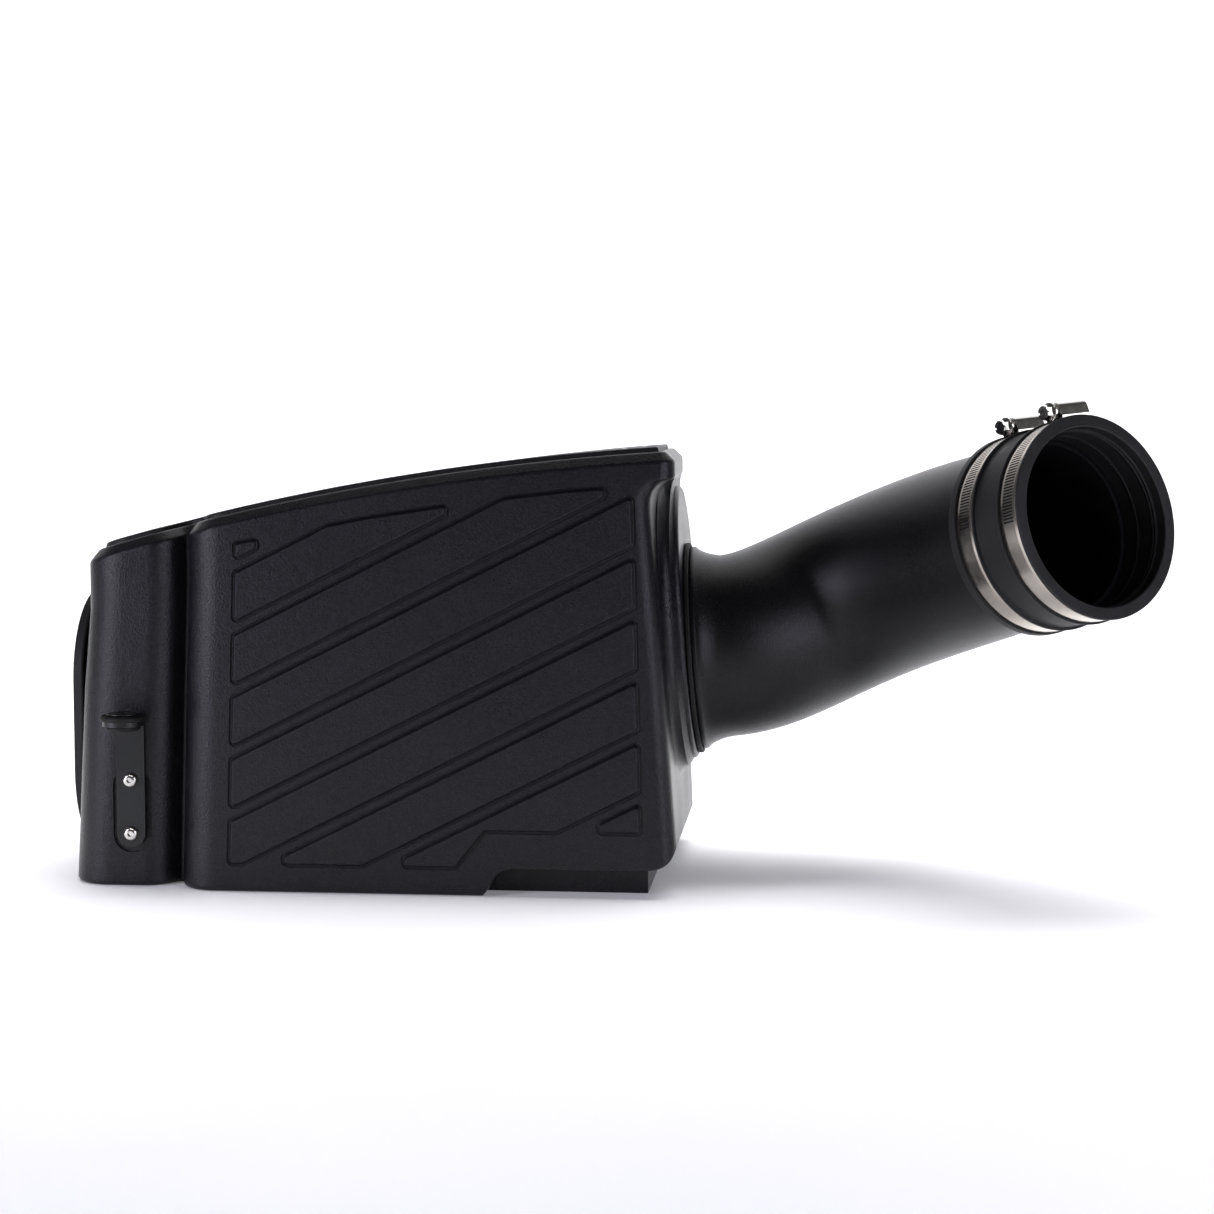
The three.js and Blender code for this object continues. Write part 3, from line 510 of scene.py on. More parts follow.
def make_rubber(name, dark, light, rough):
    g = Graph(name, name, Specular_IOR_Level=0.28)
    fine = g.noise(2600.0, 3.0, 0.6)
    clouds = g.noise(45.0, 4.0)
    # painted highlight: convex edges are mixed towards the light tone
    colour = g.mixed(g.edges(0.52, 0.6), g.ramp(clouds, ((0.3, dark), (0.7, light))), light)
    return g.feed(
        Base_Color=colour,
        Roughness=g.ranged(clouds, 0.3, 0.7, *rough),
        Normal=g.bump(fine, 0.25, 0.0002, g.bump(clouds, 0.05, 0.001)),
    )


def make_metal(name, colour, tarnish, rough, mark_scale, scratches=0.12):
    """Bright metal with fine marks and a faint uneven tarnish."""
    g = Graph(name, name, Metallic=1.0)
    marks = g.noise(1.0, 3.0, 0.6, g.stretched((mark_scale, mark_scale, mark_scale)))
    clouds = g.noise(60.0, 4.0)
    spread = g.math("ADD", g.ranged(clouds, 0.3, 0.7, *rough), g.ranged(marks, 0.3, 0.7, -0.03, 0.05))
    return g.feed(
        Base_Color=g.mixed(g.ranged(clouds, 0.35, 0.75, 0, 0.7), colour, tarnish),
        Roughness=spread,
        Normal=g.bump(marks, scratches, 0.0001),
    )


def make_coated_steel():
    g = Graph("black_coated_steel", "dark_steel", Specular_IOR_Level=0.4)
    peel = g.noise(700.0, 3.0)
    clouds = g.noise(30.0, 3.0)
    colour = g.ramp(clouds, ((0.3, (0.004, 0.0045, 0.005)), (0.7, (0.008, 0.009, 0.010))))
    return g.feed(
        # painted highlight: edges are mixed towards a paler grey
        Base_Color=g.mixed(g.rounded_edges(0.0006), colour, (0.04, 0.04, 0.042)),
        Roughness=g.ranged(clouds, 0.3, 0.7, 0.3, 0.42),
        Normal=g.bump(peel, 0.12, 0.0003),
    )


def make_cloth():
    g = Graph("oiled_cotton", "filter_cloth", Specular_IOR_Level=0.25)
    threads = [g.noise(1.0, 1.0, 0.5, g.stretched(scale)) for scale in ((900, 90, 90), (90, 900, 900))]
    weave = g.math("MULTIPLY", *threads)
    clouds = g.noise(40.0, 4.0)
    return g.feed(
        Base_Color=g.ramp(clouds, ((0.3, (0.012, 0.035, 0.11)), (0.7, (0.03, 0.075, 0.19)))),
        Roughness=g.ranged(clouds, 0.3, 0.7, 0.8, 0.95),
        Normal=g.bump(weave, 0.5, 0.0006),
    )


# the third colour of each plastic below is its painted edge highlight
box_plastic = grained_plastic(
    "box_plastic", (0.0025, 0.0025, 0.004), (0.009, 0.009, 0.0125), (0.018, 0.017, 0.022),
    (0.28, 0.38), 900.0, 0.5, 0.3, 0.0007,
)
lid_plastic = grained_plastic(
    "lid_plastic", (0.006, 0.0055, 0.006), (0.014, 0.013, 0.013), (0.024, 0.023, 0.023),
    (0.42, 0.52), 620.0, 0.4, 0.28, 0.0007,
)
tube_plastic = grained_plastic(
    "tube_plastic", (0.003, 0.003, 0.0035), (0.007, 0.007, 0.0085), (0.014, 0.014, 0.016),
    (0.28, 0.36), 1100.0, 0.3, 0.22,
)
seal_rubber = make_rubber("seal_rubber", (0.004, 0.004, 0.004), (0.010, 0.010, 0.010), (0.55, 0.7))
coupler_rubber = make_rubber("coupler_rubber", (0.010, 0.010, 0.0105), (0.017, 0.017, 0.018), (0.5, 0.62))
urethane = make_rubber("urethane", (0.006, 0.006, 0.007), (0.014, 0.014, 0.015), (0.5, 0.65))
dark_steel = make_coated_steel()
stainless = make_metal("stainless", (0.52, 0.48, 0.43), (0.47, 0.43, 0.38), (0.19, 0.22), 300, 0.01)
bright_screw = make_metal("bright_screw", (0.66, 0.65, 0.63), (0.6, 0.57, 0.54), (0.1, 0.13), 400, 0.01)
brass = make_metal("brass", (0.62, 0.45, 0.20), (0.42, 0.28, 0.11), (0.28, 0.42), 500)
wire = make_metal("wire", (0.45, 0.46, 0.47), (0.3, 0.3, 0.3), (0.3, 0.45), 500)
filter_cloth = make_cloth()


# ---------- airbox ----------
def crown(x):
    return CROWN_Z - CROWN_RADIUS + np.sqrt(CROWN_RADIUS**2 - (np.asarray(x, float) - CROWN_X) ** 2)


def box_corners(left_rise, right_rise, overhang=0.0):
    left, groove = LEFT_DRAFT * left_rise, GROOVE_DRAFT * left_rise
    front = RIGHT_FRONT - RIGHT_FRONT_DRAFT * right_rise
    back = RIGHT_BACK - RIGHT_BACK_DRAFT * right_rise
    return [
        (COLUMN_LEFT + left, COLUMN_FRONT, 26), (COLUMN_RIGHT + groove, COLUMN_FRONT, 18),
        (VALLEY_LEFT + groove, VALLEY_FLOOR, 2), (MAIN_LEFT + groove, VALLEY_FLOOR, 1.5),
        (MAIN_LEFT + groove, FRONT, 24), (front + (RIM_RIGHT - front) * overhang, FRONT, 10),
        (back + (RIM_RIGHT_BACK - back) * overhang, BACK, 22), (COLUMN_LEFT + left, BACK, 24),
    ]


rim_corners = box_corners(LEFT_RIM_HEIGHT, RIGHT_RIM_HEIGHT, 1.0)
BOX_RUNS = [5, 3, 1, 5, 34, 24, 44, 24]


def box_ring(height=None, drop=None, inset=0.0, overhang=0.0):
    """A ring of the box at a fixed height, or at a drop below the crown."""
    rise = RIGHT_RIM_HEIGHT if height is None else height
    outline = inset_outline(box_corners(min(rise, LEFT_RIM_HEIGHT), rise, overhang), inset, 9, BOX_RUNS)
    z = np.full(len(outline), float(height)) if drop is None else crown(outline[:, 0]) - drop
    return np.column_stack((outline, z))


def crown_cap(obj, drop):
    """Bends the flat cap at the top of a loft so that it follows the crown."""
    with editing(obj.data) as bm:
        cap = max((f for f in bm.faces if len(f.verts) > 8), key=lambda f: f.calc_center_median().z)
        bmesh.ops.triangulate(bm, faces=[cap])
        faces = [f for f in bm.faces if len(f.verts) == 3]
        geometry = list({e for f in faces for e in (*f.verts, *f.edges, f)})
        for x in CROWN_CUTS:
            plane = {"plane_co": (x * MM, 0, 0), "plane_no": (1, 0, 0)}
            geometry = bmesh.ops.bisect_plane(bm, geom=geometry, dist=1e-7, **plane)["geom"]
        for v in {v for f in bm.faces if len(f.verts) == 3 or f in geometry for v in f.verts}:
            if v.co.z > 0.1:
                v.co.z = (float(crown(v.co.x / MM)) - drop) * MM
    return obj


def outer_shell():
    rings = [box_ring(height=FOOT_FILLET * (1 - c), inset=FOOT_FILLET * (1 - s)) for s, c in quarter(5)]
    rings.append(box_ring(height=120))
    concave, convex = 12.6, 2.5
    reach = concave + convex
    rings.append(box_ring(drop=RIM_DEPTH + concave + 6))
    for s, c in quarter(10):
        rings.append(box_ring(drop=RIM_DEPTH + concave * (1 - s), overhang=(1 - c) * concave / reach))
    for s, c in quarter(5)[1:]:
        rings.append(box_ring(drop=RIM_DEPTH - convex * (1 - c), overhang=(concave + convex * s) / reach))
    chamfer = RIM_CHAMFER
    for corner in ([(0, 7.6), (0, chamfer), (1.15, 4.85)], [(4.85, 1.15), (chamfer, 0), (7.2, 0)]):
        rings += [box_ring(drop=drop, overhang=1, inset=inset) for inset, drop in bezier(corner, 5)]
    for s, c in quarter(3):
        rings.append(box_ring(drop=0.7 * (1 - c), overhang=1, inset=RIM_LIP - 0.7 + 0.7 * s))
    rings.append(box_ring(drop=-SEAT, overhang=1, inset=RIM_LIP))
    return crown_cap(loft("box_body", rings), -SEAT)


def cavity():
    rings = [
        box_ring(height=WALL, inset=WALL + 2), box_ring(height=WALL + 2, inset=WALL),
        box_ring(drop=36, inset=WALL), box_ring(drop=-FLANGE_UNDERSIDE, inset=WALL),
    ]
    return crown_cap(loft("cavity", rings), -FLANGE_UNDERSIDE)


def opening_prism():
    corners = [(-172, -50, 12), (-97, -50, 12), (-97, -83, 12), (146, -83, 16), (146, 83, 16), (-172, 83, 16)]
    return prism("opening", rounded_outline(corners, 8), 150, 300)


port_axis = np.array([math.cos(PORT_TILT), 0.0, math.sin(PORT_TILT)])
port_place = axis_place(PORT, port_axis)


def wall_depth(u, v):
    """Depth below the port plane of the right wall, above a point of that plane."""
    depth = -11.0
    for _ in range(4):
        x, y, z = moved(np.array((u, v, depth)), port_place)
        front = RIGHT_FRONT - RIGHT_FRONT_DRAFT * z
        back = RIGHT_BACK - RIGHT_BACK_DRAFT * z
        depth += (front + (back - front) * (y - FRONT) / (BACK - FRONT)) - x
    return depth


def boss_outline(grow):
    return inset_outline(rectangle_corners(-69, -70, 103, 70, 66), -grow, 20)


def boss_ring(grow, depth=None, above_wall=None):
    outline = boss_outline(grow)
    depths = [depth if above_wall is None else wall_depth(u, v) + above_wall for u, v in outline]
    return moved(np.column_stack((outline, depths)), port_place)


def port_boss():
    rounding, foot, flare = 3.0, 4.5, 6.0
    rings = [boss_ring(-rounding * (1 - s), depth=-rounding * (1 - c)) for s, c in quarter(6)]
    for s, c in quarter(8):
        rings.append(boss_ring(foot + flare * (1 - c), above_wall=flare * (1 - s)))
    rings.append(boss_ring(foot + flare + 2, above_wall=-0.4))
    rings.append(boss_ring(foot + flare + 2, above_wall=-2.5))
    return loft("port_boss", rings)


def inlet_outline(grow):
    corners = rectangle_corners(
        -INLET_HALF_WIDTH, INLET_Z - INLET_HALF_HEIGHT, INLET_HALF_WIDTH, INLET_Z + INLET_HALF_HEIGHT,
        INLET_HALF_WIDTH - 3,
    )
    return inset_outline(corners, -grow, 16)


def inlet_ring(grow, x=None, from_wall=None):
    outline = inlet_outline(grow)
    if from_wall is None:
        xs = np.full(len(outline), float(x))
    else:
        xs = COLUMN_LEFT + LEFT_DRAFT * outline[:, 1] - from_wall
    return np.column_stack((xs, outline))


def inlet_collar():
    flare = 1.0
    rings = [inlet_ring(flare + 1.5, from_wall=-3), inlet_ring(flare + 1.5, from_wall=-0.3)]
    rings += [inlet_ring(flare * (1 - s), from_wall=flare * (1 - c)) for s, c in quarter(6)]
    rings += [inlet_ring(0, INLET_END + 1), inlet_ring(-1, INLET_END)]
    return loft("collar", rings)


def notch_ring(outline, grow, y):
    corners = inset_corners([(x, z, 0.4) for x, z in outline], -grow)
    return np.array([(x, y, z) for x, z, _ in corners])


def notch_step(grow, y):
    curve = bezier([(56, -1), (66, 3), (60, NOTCH_TOP), (80, NOTCH_TOP)], 20)
    return notch_ring([(230, -1), (230, NOTCH_TOP), *curve[::-1]], grow, y)


def notch_slant(grow, y):
    shoulder = bezier([(175.5, 36), (174.5, NOTCH_TOP), (157, NOTCH_TOP)], 14)
    return notch_ring([(157, -1), (230, -1), (230, 36), *shoulder], grow, y)


def notch(ring, depth):
    """A cut from the front whose mouth is rounded over."""
    rounding = 1.6
    rings = [ring(rounding, FRONT - 10), ring(rounding, FRONT - 0.01)]
    rings += [ring(rounding * (1 - s), FRONT + rounding * (1 - c)) for s, c in quarter(5)[1:]]
    rings.append(ring(0, FRONT + depth))
    return loft("notch", rings)


def notch_covers():
    step = rectangle_corners(50, -5, 260, NOTCH_TOP + WALL, 1)
    shoulder = [
        (142, -5, 1), (260, -5, 1), (260, 46, 1), (169.5, 46, 4), (165, 27, 8),
        (153, NOTCH_TOP + WALL, 3), (142, NOTCH_TOP + WALL, 1),
    ]
    return [
        front_prism("cover", rounded_outline(step, 3), FRONT - 10, FRONT + NOTCH_DEPTH + WALL),
        front_prism("cover", rounded_outline(shoulder, 4), FRONT - 10, BACK + 10),
    ]


# ---------- slanted strips ----------
FIELD_LEFT, FIELD_RIGHT, FIELD_LOW, FIELD_STEP, FIELD_TOP_MARGIN = -96.6, 154.5, 17.8, 40.3, 19.5


def clipped(polygon, a, b):
    """The part of a polygon on the left of the line from a to b."""
    def side(p):
        return (b[0] - a[0]) * (p[1] - a[1]) - (b[1] - a[1]) * (p[0] - a[0])

    kept = []
    for i, p in enumerate(polygon):
        q = polygon[(i + 1) % len(polygon)]
        s, t = side(p), side(q)
        if s >= 0:
            kept.append(p)
        if (s > 0 > t) or (s < 0 < t):
            f = s / (s - t)
            kept.append((p[0] + f * (q[0] - p[0]), p[1] + f * (q[1] - p[1])))
    return kept


def strip_top(k, x):
    return 230.7 - STRIP_PITCH * k + STRIP_SLOPE * (x + 92)


def strip_corners(k):
    def bottom(x):
        return strip_top(k, x) - STRIP_HEIGHT

    def limit(x):
        return float(crown(x)) - FIELD_TOP_MARGIN

    floor = FIELD_STEP if k == STRIP_COUNT - 1 else FIELD_LOW
    outline = [(-200, bottom(-200)), (300, bottom(300)), (300, strip_top(k, 300)), (-200, strip_top(k, -200))]
    outline = clipped(outline, (FIELD_LEFT + GROOVE_DRAFT * 250, 250), (FIELD_LEFT, 0))
    outline = clipped(outline, (FIELD_RIGHT, 0), (FIELD_RIGHT - 0.0265 * 250, 250))
    outline = clipped(outline, (0, floor), (1, floor))
    for x in range(140, -100, -60):
        outline = clipped(outline, (x + 1, limit(x + 1)), (x, limit(x)))
    tip = 200.0
    while limit(tip) - bottom(tip) < STRIP_TIP and tip > -100:
        tip -= 0.5
    outline = clipped(outline, (tip, 0), (tip, 250))
    tail = (floor + STRIP_TIP - strip_top(k, 0)) / STRIP_SLOPE
    outline = clipped(outline, (tail, 250), (tail, 0))
    if k == STRIP_COUNT - 2:
        corner = next(i for i, (x, z) in enumerate(outline) if abs(z - FIELD_LOW) < 0.01 and x > 40)
        meet = (FIELD_STEP - bottom(0)) / STRIP_SLOPE
        outline[corner:corner + 1] = [(42, FIELD_LOW), (60, FIELD_STEP), (meet, FIELD_STEP)]
    return [(x, z, 1.9) for x, z in outline]


def strip_pads():
    """Raised pads whose sides swell out of the face and roll over at the top."""
    reach = 1.1
    pads = []
    for k in range(STRIP_COUNT):
        corners = strip_corners(k)
        rings = []
        for grow, rise in [(reach, -1.6), (reach, -0.3)] + [
            (reach * (1 - 2 * t), STRIP_PROUD * t * t * (3 - 2 * t)) for t in np.linspace(0.06, 1, 9)
        ]:
            rings.append(front_ring(inset_outline(corners, -grow, 5), FRONT - rise))
        pads.append(loft("strip", rings))
    return pads


def strip_channels():
    """Narrow channels in the face round each pad."""
    outlines = [inset_outline(strip_corners(k), -CHANNEL_REACH, 5) for k in range(STRIP_COUNT)]
    return [front_prism("channel", outline, FRONT - 1, FRONT + CHANNEL_DEPTH) for outline in outlines]


def centre_of(node):
    low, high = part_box(node)
    return np.array((low + high) / 2) / MM


def screw_centres(kind, count):
    return [centre_of(f"{kind}_screw_{i + 1}") for i in range(count)]


def column_rod(radius, y0, y1, z):
    obj = rod("column_rod", radius, -y1, -y0, 32)
    return transform(obj, towards_front(BRACKET_X, 0, z))


def strap_recess():
    outline = rounded_outline(rectangle_corners(BRACKET_X - 12, 21, BRACKET_X + 12, 73, 11), 10)
    return front_prism("recess", outline, COLUMN_FRONT - 5, COLUMN_FRONT + 1.7)


def make_box():
    lid_screws, bracket_screws = screw_centres("lid", LID_SCREWS), screw_centres("bracket", BRACKET_SCREWS)
    inside = combined(cavity(), notch_covers())
    obj = combined(outer_shell(), strip_channels())
    combined(obj, [port_boss(), inlet_collar(), *strip_pads()], "UNION")
    combined(obj, [inside, opening_prism()])
    lid_boss, bracket_boss, hole = 6.5, 7, INSERT_RADIUS + GAP
    bosses = [rod("boss", lid_boss, crown(x) - 19, crown(x) - 8, x=x, y=y) for x, y, _ in lid_screws]
    bosses += [column_rod(bracket_boss, COLUMN_FRONT + 1, COLUMN_FRONT + 15, z) for _, _, z in bracket_screws]
    combined(obj, bosses, "UNION")
    cuts = [rod("hole", hole, crown(x) - 16.5, crown(x), x=x, y=y) for x, y, _ in lid_screws]
    cuts += [column_rod(hole, COLUMN_FRONT - 1, COLUMN_FRONT + 12.5, z) for _, _, z in bracket_screws]
    cuts += [notch(notch_step, NOTCH_DEPTH), notch(notch_slant, BACK + 10 - FRONT)]
    cuts.append(transform(rod("port_hole", 60, -30, 5, 128), port_place))
    cuts.append(loft("bore", [inlet_ring(-WALL, -180), inlet_ring(-WALL, INLET_END - 5)]))
    cuts.append(strap_recess())
    return combined(obj, cuts)


def rim_ring(inset, z):
    """A flat ring inside the rim, its height measured from the crown."""
    return flat_ring(inset_outline(rim_corners, inset, 9, BOX_RUNS), z)


def make_lid():
    """The lid is shaped flat, with its height taken from the crown, and then bent to it."""
    edge, rounding = LID_INSET, 1.8
    rings = [rim_ring(edge + 0.6, LID_UNDERSIDE), rim_ring(edge, LID_UNDERSIDE + 0.6)]
    rings += [
        rim_ring(edge + rounding * (1 - s), LID_PROUD - rounding * (1 - c)) for s, c in quarter(5)
    ][::-1]
    obj = loft("box_lid", rings)
    screws = screw_centres("lid", LID_SCREWS)
    combined(obj, [rod("seat", 6, 0.2, 12, 40, x, y) for x, y, _ in screws])
    combined(obj, [rod("bore", 2.9, -12, 12, 32, x, y) for x, y, _ in screws])
    sliced(obj, 0, CROWN_CUTS)
    return follow_crown(obj)


def follow_crown(obj):
    for v in obj.data.vertices:
        v.co.z += float(crown(v.co.x / MM)) * MM
    obj.data.update()
    return obj


def make_gasket():
    top, low = LID_UNDERSIDE - GAP, SEAT + GAP
    profile = [
        (11.2, low), (10.8, low + 0.4), (10.8, top - 0.4), (11.2, top),
        (13.4, top), (13.8, top - 0.4), (13.8, low + 0.4), (13.4, low),
    ]
    rings = [rim_ring(inset, z) for inset, z in profile]
    return follow_crown(loft("lid_gasket", rings, closed=True))


def button_screw(name, head_radius, head_height):
    """A button-head screw standing on z = 0, with a hexagon socket and a threaded shank."""
    profile = [(0, -SHANK_LENGTH), (1.7, -SHANK_LENGTH)]
    turns = int((SHANK_LENGTH - 2) / THREAD_PITCH)
    for k in range(turns):
        z = THREAD_PITCH - SHANK_LENGTH + THREAD_PITCH * k
        profile += [(2.3, z), (2.3, z + 0.15), (2.0, z + 0.4), (2.0, z + 0.55)]
    profile += [(2.3, -0.8), (2.3, 0), (head_radius - 0.15, 0), (head_radius, 0.15)]
    for s, c in quarter(8):
        if c < 0.985:
            profile.append((head_radius * 0.42 + head_radius * 0.58 * c, head_height * (0.25 + 0.75 * s)))
    profile.append((0, head_height))
    obj = turned(name, profile, 40)
    socket = rod("socket", 1.75, head_height - 1.7, head_height + 1, 6)
    return combined(obj, [socket])


def insert(name, length):
    bore, outer = 2.6, INSERT_RADIUS
    profile = softened([(bore, -length), (outer, -length), (outer, 0), (bore, 0)], 0.3, 2)
    return turned(name, profile, 40)


def add_airbox():
    shown(make_box(), box_plastic, "airbox", ["box_body"])
    shown(make_lid(), lid_plastic, "lid", ["box_lid"])
    shown(make_gasket(), seal_rubber, "lid", ["lid_gasket"])
    for i in range(LID_SCREWS):
        name = f"lid_screw_{i + 1}"
        x, y, _ = centre_of(name)
        at = upright(x, y, crown(x) + LID_SCREW_SEAT)
        shown(transform(button_screw(name, 4.7, 2.6), at), bright_screw, "lid", [name])
        name = f"lid_insert_{i + 1}"
        at = upright(x, y, crown(x) - LID_INSERT_DROP)
        shown(transform(insert(name, 9.5), at), brass, "airbox", [name])


# ---------- bracket ----------
def make_bracket():
    """A strap cut flat, bored, and then bent forwards at its top."""
    half, bend = STRAP_WIDTH / 2, 4.5
    back = COLUMN_FRONT - GAP
    straight = TAB_Z - STRAP_LOW - bend
    arc = bend * math.pi / 2
    eye = straight + arc + GROMMET_REACH - GAP - bend
    end = eye + TAB_RADIUS
    neck = straight + arc + 1.0
    outline = rounded_outline([
        (-half, 0, half - 0.3), (half, 0, half - 0.3), (half, neck, 3), (TAB_RADIUS, neck + 5, 3),
        (TAB_RADIUS, end, TAB_RADIUS - 0.3), (-TAB_RADIUS, end, TAB_RADIUS - 0.3),
        (-TAB_RADIUS, neck + 5, 3), (-half, neck, 3),
    ], 14)
    obj = prism("bracket", outline, -STRAP_THICKNESS, 0)
    heights = [centre[2] - STRAP_LOW for centre in screw_centres("bracket", BRACKET_SCREWS)]
    holes = [rod("hole", 2.8, -9, 9, 32, 0, v) for v in heights] + [rod("eye", 9, -9, 9, 48, 0, eye)]
    combined(obj, holes)
    bevelled(obj, 0.45, 3)
    sliced(obj, 1, straight + arc * np.arange(11) / 10)
    for vertex in obj.data.vertices:
        u, v, w = np.array(vertex.co) / MM
        past = min(max(v - straight, 0.0), arc) / bend
        beyond = max(v - straight - arc, 0.0)
        out = bend - (bend + w) * math.cos(past) + beyond
        rise = min(v, straight) + (bend + w) * math.sin(past)
        vertex.co = Vector((BRACKET_X + u, back - out, STRAP_LOW + rise)) * MM
    obj.data.update()
    return obj


def add_bracket():
    shown(make_bracket(), dark_steel, "airbox", ["bracket"])
    front_face = COLUMN_FRONT - GAP - STRAP_THICKNESS
    for i in range(BRACKET_SCREWS):
        name = f"bracket_screw_{i + 1}"
        z = centre_of(name)[2]
        at = towards_front(BRACKET_X, front_face - 0.1, z)
        shown(transform(button_screw(name, 4.3, 2.9), at), bright_screw, "airbox", [name])
        name = f"bracket_insert_{i + 1}"
        at = towards_front(BRACKET_X, COLUMN_FRONT + 1.3, z)
        shown(transform(insert(name, 10.5), at), brass, "airbox", [name])
    at = upright(BRACKET_X, COLUMN_FRONT - GROMMET_REACH, TAB_Z - STRAP_THICKNESS / 2)
    rubber_profile = softened([
        (5, -4.2), (9.8, -4.2), (10.6, -3.5), (10.6, -1.8), (8.7, -1.8),
        (8.7, 1.8), (13.6, 1.8), (13.6, 4), (12.6, 5), (5, 5),
    ], 0.7)
    sleeve_profile = softened([
        (3.4, -4.8), (4.7, -4.8), (4.7, 5.3), (9.5, 5.3), (9.5, 6.2), (3.4, 6.2),
    ], 0.3)
    shown(turned("bracket_grommet", rubber_profile, 72, at), seal_rubber, "airbox", ["bracket_grommet"])
    shown(turned("grommet_sleeve", sleeve_profile, 64, at), dark_steel, "airbox", ["grommet_sleeve"])


# ---------- seals ----------
def add_seals():
    lip = [(GAP, 1.4), (4, 1.4), (4.6, 0), (3, -5.8), (-3, -5.8), (-3, -GAP), (GAP, -GAP)]
    rings = [inlet_ring(grow, INLET_END + x) for grow, x in softened(lip, 0.9, 3)]
    obj = loft("inlet_seal", rings, closed=True)
    shown(obj, seal_rubber, "airbox", ["inlet_seal"])
    ring = softened([
        (57.8, -6.8), (64, -6.8), (64, -3.8), (59.7, -3.8),
        (59.7, GAP), (66.5, GAP), (66.5, 3.2), (57.8, 3.2),
    ], 0.9)
    shown(turned("port_seal", ring, 144, port_place), seal_rubber, "airbox", ["port_seal"])


# ---------- intake tube ----------
coupler_axis = np.array([
    math.sin(COUPLER_AZIMUTH) * math.cos(COUPLER_RISE),
    -math.cos(COUPLER_AZIMUTH) * math.cos(COUPLER_RISE),
    math.sin(COUPLER_RISE),
])
coupler_place = axis_place(COUPLER_FACE, coupler_axis)
BEND = [
    PORT + port_axis * TUBE_LEAD, PORT + port_axis * 62,
    COUPLER_FACE - coupler_axis * (COUPLER_LENGTH + 190), COUPLER_FACE - coupler_axis * COUPLER_LENGTH,
]
bend_points = bezier(BEND, 800)
bend_lengths = np.concatenate(([0], np.cumsum(np.linalg.norm(np.diff(bend_points, axis=0), axis=1))))
bend_length = bend_lengths[-1]
bend_end = TUBE_LEAD + bend_length
tube_length = bend_end + COUPLER_LENGTH - TUBE_STOP


def tube_ring(s, radius):
    """A circle round the tube's path, at a length from the port plane."""
    along = float(np.clip(s - TUBE_LEAD, 0, bend_length))
    t = float(np.interp(along, bend_lengths, np.linspace(0, 1, len(bend_lengths))))
    p = BEND
    centre = cubic(p, t)
    tangent = (1 - t) ** 2 * (p[1] - p[0]) + 2 * (1 - t) * t * (p[2] - p[1]) + t * t * (p[3] - p[2])
    tangent = unit(tangent)
    place = axis_place(centre + tangent * (s - TUBE_LEAD - along), tangent)
    return moved(circle(radius, TUBE_SEGMENTS, 0), place)


def tube_radius(s):
    f = min(max(s / bend_end, 0), 1) ** 6
    return TUBE_START_RADIUS + (TUBE_END_RADIUS - TUBE_START_RADIUS) * f


def make_tube():
    spigot, lip, lip_top = SPIGOT_RADIUS, LIP_RADIUS, LIP_START + 2.2
    flare_end = TUBE_LEAD + 2
    path = [
        (SPIGOT_END, spigot - 1), (SPIGOT_END + 0.3, spigot - 0.3), (SPIGOT_END + 1, spigot),
        (LIP_START, spigot), (LIP_START, lip - 0.8), (LIP_START + 0.25, lip - 0.25), (LIP_START + 0.8, lip),
    ]
    flare = [
        (lip_top, lip), (LIP_START + 3.4, lip), (LIP_START + 4.6, lip - 4.6),
        (flare_end, tube_radius(flare_end)),
    ]
    path += list(bezier(flare, 14))
    for k in range(1, TUBE_RINGS + 1):
        s = flare_end + (bend_end - flare_end) * k / TUBE_RINGS
        path.append((s, tube_radius(s)))
    path += [
        (tube_length - 1, TUBE_END_RADIUS), (tube_length - 0.3, TUBE_END_RADIUS - 0.3),
        (tube_length, TUBE_END_RADIUS - 1), (tube_length, TUBE_END_RADIUS - TUBE_WALL),
    ]
    for k in range(BORE_RINGS, -1, -1):
        s = bend_end * k / BORE_RINGS
        path.append((s, min(tube_radius(s), spigot) - TUBE_WALL))
    path.append((SPIGOT_END, spigot - TUBE_WALL))
    rings = [tube_ring(float(s), float(radius)) for s, radius in path]
    return loft("intake_tube", rings, closed=True)


def coupler_profile():
    rib, body, mouth = COUPLER_RIB, COUPLER_BODY, 52.5
    socket, stop = TUBE_END_RADIUS + GAP, GAP - TUBE_STOP
    return softened([
        (mouth + 0.6, 0), (rib - 0.2, 0), (rib, -2), (body, -2.2),
        (body, -16.8), (rib, -16.8), (rib, -18.3), (body + 0.3, -18.5),
        (body + 0.3, -38.3), (rib, -38.5), (rib, -40), (body, -40),
        (body, -54.8), (rib, -54.8), (rib, -COUPLER_LENGTH), (socket, -COUPLER_LENGTH),
        (socket, stop), (mouth, stop), (mouth, -24),
        (mouth - 0.5, -23.2), (mouth - 0.5, -22.6), (mouth, -21.8),
        (mouth, -11.4), (mouth - 0.9, -10.2), (mouth, -9), (mouth - 0.9, -7.8),
        (mouth, -6.6), (mouth, -0.6),
    ], 0.6, 4)


